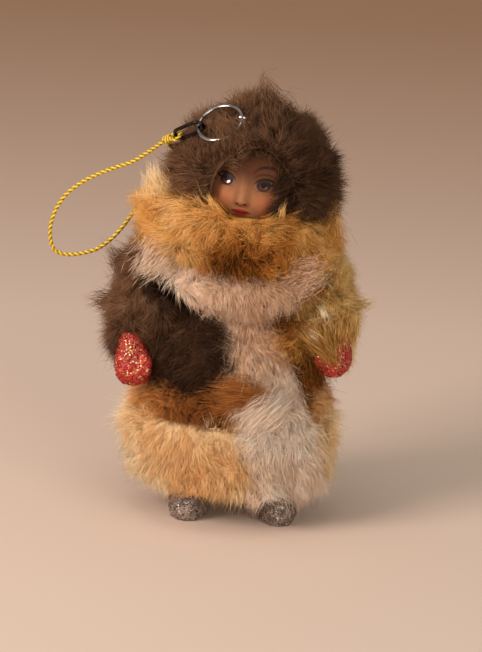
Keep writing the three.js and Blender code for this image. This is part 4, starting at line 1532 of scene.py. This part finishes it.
@dataclass(frozen=True)
class Stroke:
    """One oval of paint at a place across and up from the face's middle, or the upper edge of one.

    Widths and heights are halves, in millimetres. A stroke that is thick is an edge, thick in its
    middle and thin at its ends. Its soft edge is a share of its size, and its turn is in degrees.
    """

    paint: Colour
    across: float
    up: float
    wide: float
    high: float
    soft: float = 0.2
    turn: float = 0.0
    strength: float = 1.0
    thick: float = 0.0
    outside: bool = False

    def oval(self, shade: Shade) -> Socket:
        """Masks the oval, with 1 inside it.

        Args:
            shade: The material under construction.

        Returns:
            The mask.
        """
        place = shade.add("Mapping", {
            "Vector": shade.spot(FACE_MAP),
            "Location": (0.5 + self.across / FACE_MAP_SIZE, 0.5 + self.up / FACE_MAP_SIZE, 0),
            "Rotation": (0, 0, math.radians(self.turn)),
            "Scale": (self.wide / FACE_MAP_SIZE, self.high / FACE_MAP_SIZE, 1),
        }, vector_type="TEXTURE")
        apart = shade.add("VectorMath", {0: place.outputs[0]}, operation="LENGTH").outputs["Value"]
        return shade.add("MapRange", {
            "Value": apart, "From Min": 1 + self.soft, "From Max": 1 - self.soft,
        }, interpolation_type="SMOOTHSTEP").outputs[0]

    def mask(self, shade: Shade) -> Socket:
        """Masks what the stroke covers, as strongly as it does.

        Args:
            shade: The material under construction.

        Returns:
            The mask.
        """
        mask = self.oval(shade)
        if self.thick:
            inner = replace(self, up=self.up - self.thick, wide=self.wide * 1.03).oval(shade)
            mask = shade.maths("SUBTRACT", mask, inner, use_clamp=True)
        if self.outside:
            mask = shade.maths("SUBTRACT", 1.0, mask)
        return shade.maths("MULTIPLY", mask, self.strength)


def both_sides(*strokes: Stroke) -> tuple[Stroke, ...]:
    """The strokes on the doll's right, and then the same on its left.

    Args:
        strokes: The strokes as they lie on the left.

    Returns:
        All the strokes, in the order of painting.
    """
    return tuple(
        replace(stroke, across=side * stroke.across, turn=side * stroke.turn)
        for side in (-1, 1) for stroke in strokes
    )


SKIN = srgb(156, 102, 69)
PALE_SKIN = tuple(min(1.0, level * 1.12) for level in SKIN)
DEEP_SKIN = tuple(level * 0.86 for level in SKIN)
# The colour of the painted shade on the face.
PAINTED_SKIN_SHADE = srgb(86, 47, 28)
BLUSH = srgb(190, 78, 52)
EYE_WHITE = srgb(122, 92, 82)
IRIS = srgb(54, 28, 22)
IRIS_LIGHT = srgb(104, 56, 40)
PUPIL = srgb(20, 13, 11)
LASH = srgb(36, 22, 17)
BROW = srgb(42, 24, 16)
LIP = srgb(128, 32, 25)
LIP_LINE = srgb(88, 14, 14)
# The colour of the painted highlights in the eyes.
GLEAM = srgb(255, 250, 244)

FACE_STROKES = (
    # Painted shade: the face darkens at its edges, on the forehead under the hood and on the chin
    # above the collar.
    Stroke(PAINTED_SKIN_SHADE, -0.8, 0.2, 8.4, 8.2, 0.4, strength=0.75, outside=True),
    Stroke(PAINTED_SKIN_SHADE, 0.5, 9.0, 9.5, 5.6, 0.6),
    Stroke(PAINTED_SKIN_SHADE, 0.5, -8.2, 8.0, 3.8, 0.7, strength=0.55),
    *both_sides(
        # The blush is the face's own paint; the eye sockets and the sides of the nose get painted
        # shade.
        Stroke(BLUSH, 6.2, -1.2, 3.0, 2.6, 0.7, strength=0.22),
        Stroke(PAINTED_SKIN_SHADE, 4.7, 4.6, 3.4, 2.7, 0.6, strength=0.45),
        Stroke(PAINTED_SKIN_SHADE, 1.5, 0.2, 0.7, 2.0, 0.8, strength=0.3),
    ),
    # A painted highlight down the ridge of the nose.
    Stroke(PALE_SKIN, -0.3, 0.2, 0.8, 2.2, 0.9, strength=0.25),
    *both_sides(
        Stroke(EYE_WHITE, 4.7, 3.65, 2.1, 1.4, 0.14, 5),
        Stroke(IRIS, 4.6, 3.7, 1.75, 1.46, 0.16),
        Stroke(IRIS_LIGHT, 4.6, 3.3, 0.95, 0.7, 0.4, strength=0.7),
        Stroke(PUPIL, 4.6, 3.8, 0.68, 0.74),
        Stroke(LASH, 4.85, 3.75, 2.5, 1.75, 0.1, 6, thick=0.62),
        Stroke(LASH, 6.8, 4.15, 0.75, 0.28, 0.4, 28),
        Stroke(BROW, 4.7, 2.28, 1.7, 0.16, 0.6, strength=0.5),
        Stroke(BROW, 4.7, 4.75, 2.6, 1.8, 0.1, 4, strength=0.85, thick=0.3),
        Stroke(BROW, 4.9, 6.3, 3.1, 2.2, 0.1, 4, strength=0.85, thick=0.75),
    ),
    # Painted highlights in the eyes; the one on the doll's left is faint, as that eye lies in
    # shade.
    Stroke(GLEAM, -4.08, 3.15, 0.46, 0.3, 0.35, 38),
    Stroke(GLEAM, 5.32, 3.15, 0.46, 0.3, 0.35, 38, strength=0.06),
    *both_sides(
        Stroke(LIP_LINE, 0.95, -1.5, 0.45, 0.24, 0.4),
        Stroke(LIP, 1.0, -3.55, 1.5, 0.38, 0.4, -10),
    ),
    Stroke(LIP, 0.1, -4.22, 1.5, 0.5, 0.4),
    Stroke(LIP_LINE, 0, -3.86, 1.9, 0.13, 0.5),
)
WET_STROKES = (
    *both_sides(Stroke(GLEAM, 4.7, 3.7, 2.1, 1.4)),
    Stroke(GLEAM, 0, -4, 2, 1, strength=0.6),
)


@dataclass(frozen=True)
class FacePaint:
    """The painted face: a brushed skin tone, strokes of paint over it in order, painted shade and
    highlights among them, and wet places.
    """

    name: str = "painted_face"
    strokes: tuple[Stroke, ...] = FACE_STROKES
    wet: tuple[Stroke, ...] = WET_STROKES

    @cache
    def material(self) -> Material:
        """Makes the painted face, matt on the skin and glossy on the eyes and lips.

        Returns:
            The material, the same one at each call.
        """
        shade = Shade(self.name)
        place = shade.place()
        colour = shade.ramp(shade.noise(place, 420.0, 4.0), [(0.3, DEEP_SKIN), (0.7, PALE_SKIN)])
        for stroke in self.strokes:
            colour = shade.mix(stroke.mask(shade), colour, stroke.paint)
        wet = 0.0
        for stroke in self.wet:
            wet = shade.maths("MAXIMUM", stroke.mask(shade), wet)
        return shade.done({
            "Base Color": colour,
            "Roughness": shade.rescale(wet, 0.5, 0.42),
            "Specular IOR Level": 0.1,
            "Normal": shade.bump(shade.noise(place, 2200.0, 3.0), 0.12, 0.0001),
        })


@dataclass(frozen=True)
class Face:
    """The moulded face: a shell from the front of the head, with its features raised on it."""

    centre_height: float = 85.6
    middle_height: float = 83.5
    turn: float = math.radians(-9)
    radius: float = 14.3
    tall: float = 15.4
    back: float = 4.0
    wall: float = 1.2
    jaw: float = 0.2
    jaw_start: float = 3.0
    jaw_height: float = 7.0
    front_gain: float = 1.6
    front_start: float = 0.2
    forms: tuple[Swell, ...] = FACE_FORMS
    paint: FacePaint = FacePaint()

    def shell(self) -> Piece:
        """Cuts the front out of an egg-shaped ball.

        Returns:
            The open shell.
        """
        fresh_selection()
        bpy.ops.mesh.primitive_uv_sphere_add(
            segments=192, ring_count=120, radius=MM, location=(0, 0, self.centre_height * MM)
        )
        face = named("moulded_face")
        face.scale = (self.radius, self.radius, self.tall)
        bpy.ops.object.transform_apply(location=True, rotation=True, scale=True)
        bpy.ops.object.mode_set(mode="EDIT")
        bpy.ops.mesh.select_all(action="SELECT")
        bpy.ops.mesh.bisect(
            plane_co=(0, -self.back * MM, 0), plane_no=(0, 1, 0), clear_outer=True
        )
        bpy.ops.object.mode_set(mode="OBJECT")
        return face

    def raise_features(self, face: Piece) -> None:
        """Raises nose, lips, cheeks and chin, sinks the eyes and draws in the jaw.

        Args:
            face: The open shell.
        """
        places = points_of(face.data) / MM
        out = unit(places - np.array((0, 0, self.centre_height)))
        across, up = places[:, 0], places[:, 2] - self.middle_height
        rise = sum(form.raise_by(across, up) for form in self.forms)
        front = np.clip(-out[:, 1:2] * self.front_gain - self.front_start, 0, 1)
        places = places + out * rise[:, None] * front
        low = np.clip((-up - self.jaw_start) / self.jaw_height, 0, 1)
        places[:, 0] *= 1 - self.jaw * low**2
        move_points(face.data, places * MM)

    def lay_map(self, face: Piece) -> None:
        """Maps the face from straight ahead, for the painter.

        Args:
            face: The finished form.
        """
        mesh = face.data
        places = points_of(mesh)[vertices_of(mesh)] / MM
        spots = np.stack([places[:, 0], places[:, 2] - self.middle_height], 1) / FACE_MAP_SIZE + 0.5
        for old in list(mesh.uv_layers):
            mesh.uv_layers.remove(old)
        write_map(mesh, FACE_MAP, spots)

    def build(self) -> None:
        """Makes the face and sets it on the leaning head."""
        face = self.shell()
        self.raise_features(face)
        add_modifier(face, "SOLIDIFY", thickness=self.wall * MM, offset=-1)
        self.lay_map(face)
        face.data.transform(head_place() @ Matrix.Rotation(self.turn, 4, "Z"))
        take(face)
        bpy.ops.object.shade_smooth_by_angle(angle=math.radians(50))
        dress(face, self.paint.material(), "doll", "face")
        LOG.info("face: moulded and painted")


# Hands, feet and cotton


@dataclass(frozen=True)
class GlitterPiece:
    """A mitten or boot: a rounded form under a crust of glitter flakes."""

    node: str
    finish: GlitterFinish
    flakes: int
    flake_size: float = 0.36
    flake_depth: float = 0.07
    flake_sizes: tuple[float, float] = (0.6, 1.15)
    tilt: float = 0.22
    stand: float = 0.06
    scatter: float = 0.05
    lumps: float = 0.1
    voxel: float = 0.34
    smooth: int = 10
    seed: int = SEED

    def form(self, nodes: Nodes) -> Piece:
        """Makes the rounded, slightly lumpy form.

        Args:
            nodes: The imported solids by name.

        Returns:
            The form.
        """
        piece = rounded_copy(self.node, f"{self.node}_form", self.voxel, self.smooth, nodes)
        places, facing = points_of(piece.data), normals_of(piece.data)
        uneven = waves(places / MM, 1.5, self.seed) + 0.6 * waves(places / MM, 0.7, self.seed + 1)
        places = places + facing * (uneven * self.lumps * MM)[:, None]
        places[:, 2] = np.maximum(places[:, 2], 0)
        move_points(piece.data, places)
        return piece

    def coat(self, form: Piece) -> Piece:
        """Sows six-sided flakes over a form, each tipped its own way.

        Args:
            form: The mitten or boot.

        Returns:
            One object that holds all the flakes.
        """
        rng = np.random.default_rng(self.seed)
        mesh = form.data
        clear = np.nonzero(points_of(mesh)[:, 2] > self.flake_size * MM)[0]
        chosen = rng.choice(clear, self.flakes)
        facing = unit(normals_of(mesh)[chosen] + rng.normal(size=(self.flakes, 3)) * self.tilt)
        centres = points_of(mesh)[chosen] / MM + facing * self.stand
        centres += rng.normal(size=(self.flakes, 3)) * self.scatter
        side = unit(np.cross(facing, rng.normal(size=(self.flakes, 3))))
        other = np.cross(facing, side)
        size = (self.flake_size / 2 * rng.uniform(*self.flake_sizes, self.flakes))[:, None]
        places = np.empty((self.flakes, 8, 3))
        for corner in range(6):
            turn = math.pi * corner / 3
            places[:, corner] = centres + (side * math.cos(turn) + other * math.sin(turn)) * size
        places[:, 6] = centres + facing * self.flake_depth / 2
        places[:, 7] = centres - facing * self.flake_depth / 2
        faces = [(i, (i + 1) % 6, 6) for i in range(6)] + [((i + 1) % 6, i, 7) for i in range(6)]
        tone = np.clip(rng.beta(0.9, 2.7, self.flakes), *TONE_RANGE)
        level = rng.uniform(0.1, 0.9, self.flakes)
        around = 0.012 * np.array([math.cos(math.pi * i / 3) for i in range(6)] + [0, 0])
        height = 0.02 * np.array([math.sin(math.pi * i / 3) for i in range(6)] + [0, 0])
        return sow(f"{self.node}_flakes", places, faces, (tone, level), (around, height))

    def build(self, nodes: Nodes) -> None:
        """Makes the form and its flakes.

        Args:
            nodes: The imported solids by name.
        """
        form = self.form(nodes)
        flakes = self.coat(form)
        dress(form, self.finish.ground_material(), "doll", self.node)
        dress(flakes, self.finish.flake_material(), "doll")
        LOG.info("%s: %d flakes", self.node, self.flakes)


GLITTER_PIECES = (
    GlitterPiece("right_mitten", RED_GLITTER, 1500, seed=21),
    GlitterPiece("left_mitten", RED_GLITTER, 1500, seed=22),
    GlitterPiece("right_boot", SILVER_GLITTER, 2300, seed=23),
    GlitterPiece("left_boot", SILVER_GLITTER, 2300, seed=24),
)


@dataclass(frozen=True)
class CottonCore:
    """A limb, trunk or head of wound cotton wool under the fur."""

    node: str
    windings: float = 0.12
    winding_size: float = 3.0
    voxel: float = 0.8
    smooth: int = 8
    finish: CottonFinish = CottonFinish()

    def build(self, nodes: Nodes) -> None:
        """Makes the core, uneven where the cotton is wound on.

        Args:
            nodes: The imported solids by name.
        """
        piece = rounded_copy(self.node, f"{self.node}_cotton", self.voxel, self.smooth, nodes)
        uneven = waves(points_of(piece.data) / MM, self.winding_size, SEED)
        push_out(piece.data, uneven * self.windings * MM)
        dress(piece, self.finish.material(), "doll", self.node)
        LOG.info("%s: wound cotton", self.node)


COTTON_CORES = tuple(
    CottonCore(node) for node in ("body_core", "head_core", "right_leg_core", "left_leg_core")
)


# Hanger


@dataclass(frozen=True)
class JumpRing:
    """The round ring: a turn of bright wire, open by a hair where its ends meet."""

    diameter: float = 11.2
    wire: float = 0.8
    slit: float = 0.18
    around: int = 160

    def build(self, nodes: Nodes) -> None:
        """Bends the ring, cuts its slit and lays it where its solid lies.

        Args:
            nodes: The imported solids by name.
        """
        ring = bend_ring("jump_ring", self.diameter, self.wire, self.around)
        half = self.slit / self.diameter + math.pi / self.around
        bpy.ops.object.mode_set(mode="EDIT")
        bpy.ops.mesh.select_mode(type="FACE")
        bpy.ops.mesh.select_all(action="DESELECT")
        bpy.ops.object.mode_set(mode="OBJECT")
        for face in ring.data.polygons:
            face.select = abs(math.atan2(face.center.y, face.center.x)) < half
        bpy.ops.object.mode_set(mode="EDIT")
        bpy.ops.mesh.delete(type="FACE")
        bpy.ops.mesh.select_all(action="SELECT")
        bpy.ops.mesh.fill_holes(sides=0)
        bpy.ops.object.mode_set(mode="OBJECT")
        lay_like(ring, nodes["hanger_ring"])
        bpy.ops.object.shade_smooth_by_angle(angle=math.radians(40))
        dress(ring, BRIGHT_METAL.material(), "ring", "hanger_ring")
        LOG.info("hanger ring: %d steps round", self.around)


@dataclass(frozen=True)
class OvalLink:
    """The oval link between the ring and the cord, of blacked wire."""

    length: float = 8.2
    width: float = 3.2
    wire: float = 0.9
    around: int = 72
    bend: float = 4.0

    def build(self, nodes: Nodes) -> None:
        """Draws a small ring out into an oval and lays it where its solid lies.

        Args:
            nodes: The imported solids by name.
        """
        link = bend_ring("oval_link", self.width, self.wire, self.around)
        places = points_of(link.data)
        stretch = (self.length - self.width) / 2 * MM
        share = np.clip(places[:, 0] / (self.width / 2 * MM) * self.bend, -1, 1)
        places[:, 0] += stretch * share
        move_points(link.data, places)
        lay_like(link, nodes["link_ring"])
        bpy.ops.object.shade_smooth()
        dress(link, BLACKED_METAL.material(), "link", "link_ring")
        LOG.info("link: drawn oval")


@dataclass(frozen=True)
class CordLoop:
    """The gold hanging loop: two twisted strands from the knot, out and back behind the hood."""

    route: tuple[Point, ...] = (
        (-20.4, -3.58, 94.5), (-24, -0.9, 91.1), (-28.1, 1.3, 87.8), (-32.7, 2.7, 85.6),
        (-37.1, 3.8, 83.3), (-41, 4.2, 80.8), (-44.2, 4.6, 77.8), (-46.3, 5, 74.4),
        (-47.6, 5.4, 70.6), (-47.8, 5.8, 66.5), (-46.4, 6.2, 62.9), (-43.4, 6.6, 62),
        (-39.3, 7.1, 62.5), (-35.6, 7.6, 63.9), (-32.6, 8.2, 66.3), (-30.1, 8.9, 69.2),
        (-27.6, 11, 72.6), (-24.6, 13.8, 76.2), (-21, 15.2, 80.2), (-18.4, 14.4, 84.2),
        (-17.8, 11.2, 87.8), (-18.6, 6.8, 90.8), (-19.6, 2.4, 92.6), (-19, -2.3, 94),
    )
    diameter: float = 1.1
    length: float = 106.9
    pitch: float = 2.8
    groove: float = 0.46
    slack_groove: float = 0.55
    slack: tuple[float, float] = (1.4, 2.2)
    steps: int = 520
    sides: int = 14
    finish: CordFinish = CordFinish()

    def build(self, knot: Piece) -> None:
        """Twists the cord along its route.

        Args:
            knot: The knot that ties it to the link; not used.
        """
        path = smooth_route(self.route, self.steps)
        along = np.linspace(0, 1, len(path))
        tight = np.clip(self.slack[0] - self.slack[1] * along, 0, 1)
        groove = self.groove * (self.slack_groove + (1 - self.slack_groove) * tight)
        cord = twisted_tube(
            "cord_loop", path, self.diameter / 2, self.sides, groove, self.pitch
        )
        dress(cord, self.finish.material(), "link", "hanging_cord")
        LOG.info("cord: %d rings", len(path))


@dataclass(frozen=True)
class CordKnot:
    """The knot: the cord's bight round the foot of the link, bound by three turns."""

    foot: Point = (-17.46248, -5.2479, 96.30713)
    reach: Point = (-0.76652, 0.436, -0.47154)
    axis: Point = (0.0821, 0.79474, 0.60137)
    bight: float = 1.3
    bight_turn: float = 0.94
    bight_steps: int = 70
    strand: float = 0.5
    wrap: float = 0.62
    wrap_start: float = 1.35
    wrap_pitch: float = 0.72
    turns: float = 3.0
    turn_steps: int = 110
    sides: int = 12
    groove: float = 0.4
    pitch: float = 2.4
    finish: CordFinish = CordFinish()

    def build(self) -> Piece:
        """Lays the bight and winds the turns.

        Returns:
            The knot.
        """
        foot, reach, axis = (np.array(v) for v in (self.foot, self.reach, self.axis))
        side = np.cross(reach, axis)
        most = math.pi * self.bight_turn
        angle = np.linspace(-most, most, self.bight_steps)[:, None]
        loop = foot + (axis * np.sin(angle) - reach * np.cos(angle)) * self.bight
        turn = np.linspace(0, 2 * math.pi * self.turns, self.turn_steps)[:, None]
        on = self.wrap_start + self.wrap_pitch * turn / (2 * math.pi)
        coil = foot + reach * on + (axis * np.cos(turn) + side * np.sin(turn)) * self.wrap
        strands = [
            twisted_tube(
                name, path, self.strand, self.sides, np.full(len(path), self.groove), self.pitch
            )
            for name, path in (("bight", loop), ("binding", coil))
        ]
        knot = join(strands, "knot")
        dress(knot, self.finish.material(), "link", "cord_knot")
        LOG.info("knot: bight and %g turns", self.turns)
        return knot


@dataclass(frozen=True)
class WireParts:
    """The wires that keep their solids' shapes: the eye in the hood and the frame inside."""

    eye: str = "hanger_eye"
    frame: tuple[str, ...] = ("spine_wire", "arm_wire", "leg_wire")

    def dress(self, nodes: Nodes) -> None:
        """Gives the wires their metal.

        Args:
            nodes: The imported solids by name.
        """
        for name in (self.eye, *self.frame):
            mesh = nodes[name].data
            mesh.materials.clear()
            mesh.materials.append((BRIGHT_METAL if name == self.eye else FRAME_WIRE).material())
        LOG.info("wires: eye and frame")


# Stage


@dataclass(frozen=True)
class Studio:
    """The floor, the lights and the camera."""

    floor_half: float = 1500.0
    camera_distance: float = 900.0
    camera_height_angle: float = 14.0
    camera_roll: float = 3.5
    aim: Point = (1.25, 0.0, 47.9)
    lamp_aim: Point = (0.0, 0.0, 55.0)
    frame_height: float = 163.0
    sensor: float = 36.0
    floor_near: Colour = srgb(210, 184, 168)
    floor_lit_middle: Colour = srgb(238, 206, 187)
    floor_dim_far: Colour = srgb(222, 168, 133)

    def floor(self) -> None:
        """Makes the plain floor, with painted light: brightest a little behind the doll, dimmer and
        warmer far behind it.
        """
        fresh_selection()
        bpy.ops.mesh.primitive_plane_add(size=2 * self.floor_half * MM)
        floor = named("floor")
        shade = Shade("pale_floor")
        back = shade.split(shade.place())[1]
        depth = shade.add("MapRange", {"Value": back, "From Min": -0.2, "From Max": 0.8}).outputs[0]
        # Painted light and shade on the floor: brightest a little behind the doll, where the lamps'
        # light falls, dimmer and warmer far behind it.
        colours = [(0, self.floor_near), (0.4, self.floor_lit_middle), (1, self.floor_dim_far)]
        floor.data.materials.append(shade.done({
            "Base Color": shade.ramp(depth, colours),
            "Roughness": 0.85,
            "Specular IOR Level": 0.2,
        }))

    def lamp(self, name: str, place: Point, size: float, power: float, colour: Colour) -> None:
        """Adds one square soft lamp that looks at the doll.

        Args:
            name: The lamp's name.
            place: Where it stands, in millimetres.
            size: Its side, in millimetres.
            power: Its power in watts.
            colour: The colour of its light.
        """
        data = bpy.data.lights.new(name, "AREA")
        data.size = size * MM
        data.energy = power
        data.color = colour
        lamp = new_object(name, data)
        lamp.location = Vector(place) * MM
        aim = Vector(self.lamp_aim) * MM - lamp.location
        lamp.rotation_euler = aim.to_track_quat("-Z", "Y").to_euler()

    def lights(self) -> None:
        """Lights the doll softly from the left, with a fill and a top light."""
        self.lamp("key_lamp", (-480, -440, 370), 320, 4.45, (1.0, 0.94, 0.87))
        self.lamp("fill_lamp", (260, -560, 220), 400, 1.6, (0.92, 1.0, 0.91))
        self.lamp("top_lamp", (-60, -120, 600), 360, 0.7, (1.0, 0.96, 0.9))
        world = bpy.data.worlds.new("studio")
        bpy.context.scene.world = world
        world.use_nodes = True
        background = world.node_tree.nodes["Background"]
        background.inputs["Color"].default_value = (0.98, 0.98, 0.92, 1)
        background.inputs["Strength"].default_value = 0.3

    def camera(self) -> None:
        """Sets the camera at the photograph's angle."""
        data = bpy.data.cameras.new("camera")
        data.sensor_fit = "VERTICAL"
        data.sensor_height = self.sensor
        data.lens = self.sensor * self.camera_distance / self.frame_height
        data.clip_start = 0.01
        data.dof.use_dof = False
        camera = new_object("camera", data)
        rise = math.radians(self.camera_height_angle)
        away = Vector((0, -math.cos(rise), math.sin(rise)))
        aim = Vector(self.aim) * MM
        camera.location = aim + away * self.camera_distance * MM
        roll = Quaternion((0, 0, 1), math.radians(self.camera_roll))
        camera.rotation_mode = "QUATERNION"
        camera.rotation_quaternion = (-away).to_track_quat("-Z", "Y") @ roll
        bpy.context.scene.camera = camera

    def build(self) -> None:
        """Sets up the whole stage."""
        self.floor()
        self.lights()
        self.camera()
        bpy.context.scene.view_settings.view_transform = "Standard"
        LOG.info("stage: floor, lamps and camera")


def main() -> None:
    """Builds the doll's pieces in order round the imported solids."""
    logging.basicConfig(level=logging.INFO, format="%(name)s: %(message)s")
    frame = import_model()
    nodes = frame["nodes"]
    Studio().build()
    CordLoop().build(CordKnot().build())
    JumpRing().build(nodes)
    OvalLink().build(nodes)
    WireParts().dress(nodes)
    Face().build()
    for core in COTTON_CORES:
        core.build(nodes)
    for piece in GLITTER_PIECES:
        piece.build(nodes)
    for fur in FUR_PIECES:
        fur.build(nodes, surroundings(nodes, fur.node))


if __name__ == "__main__":
    main()
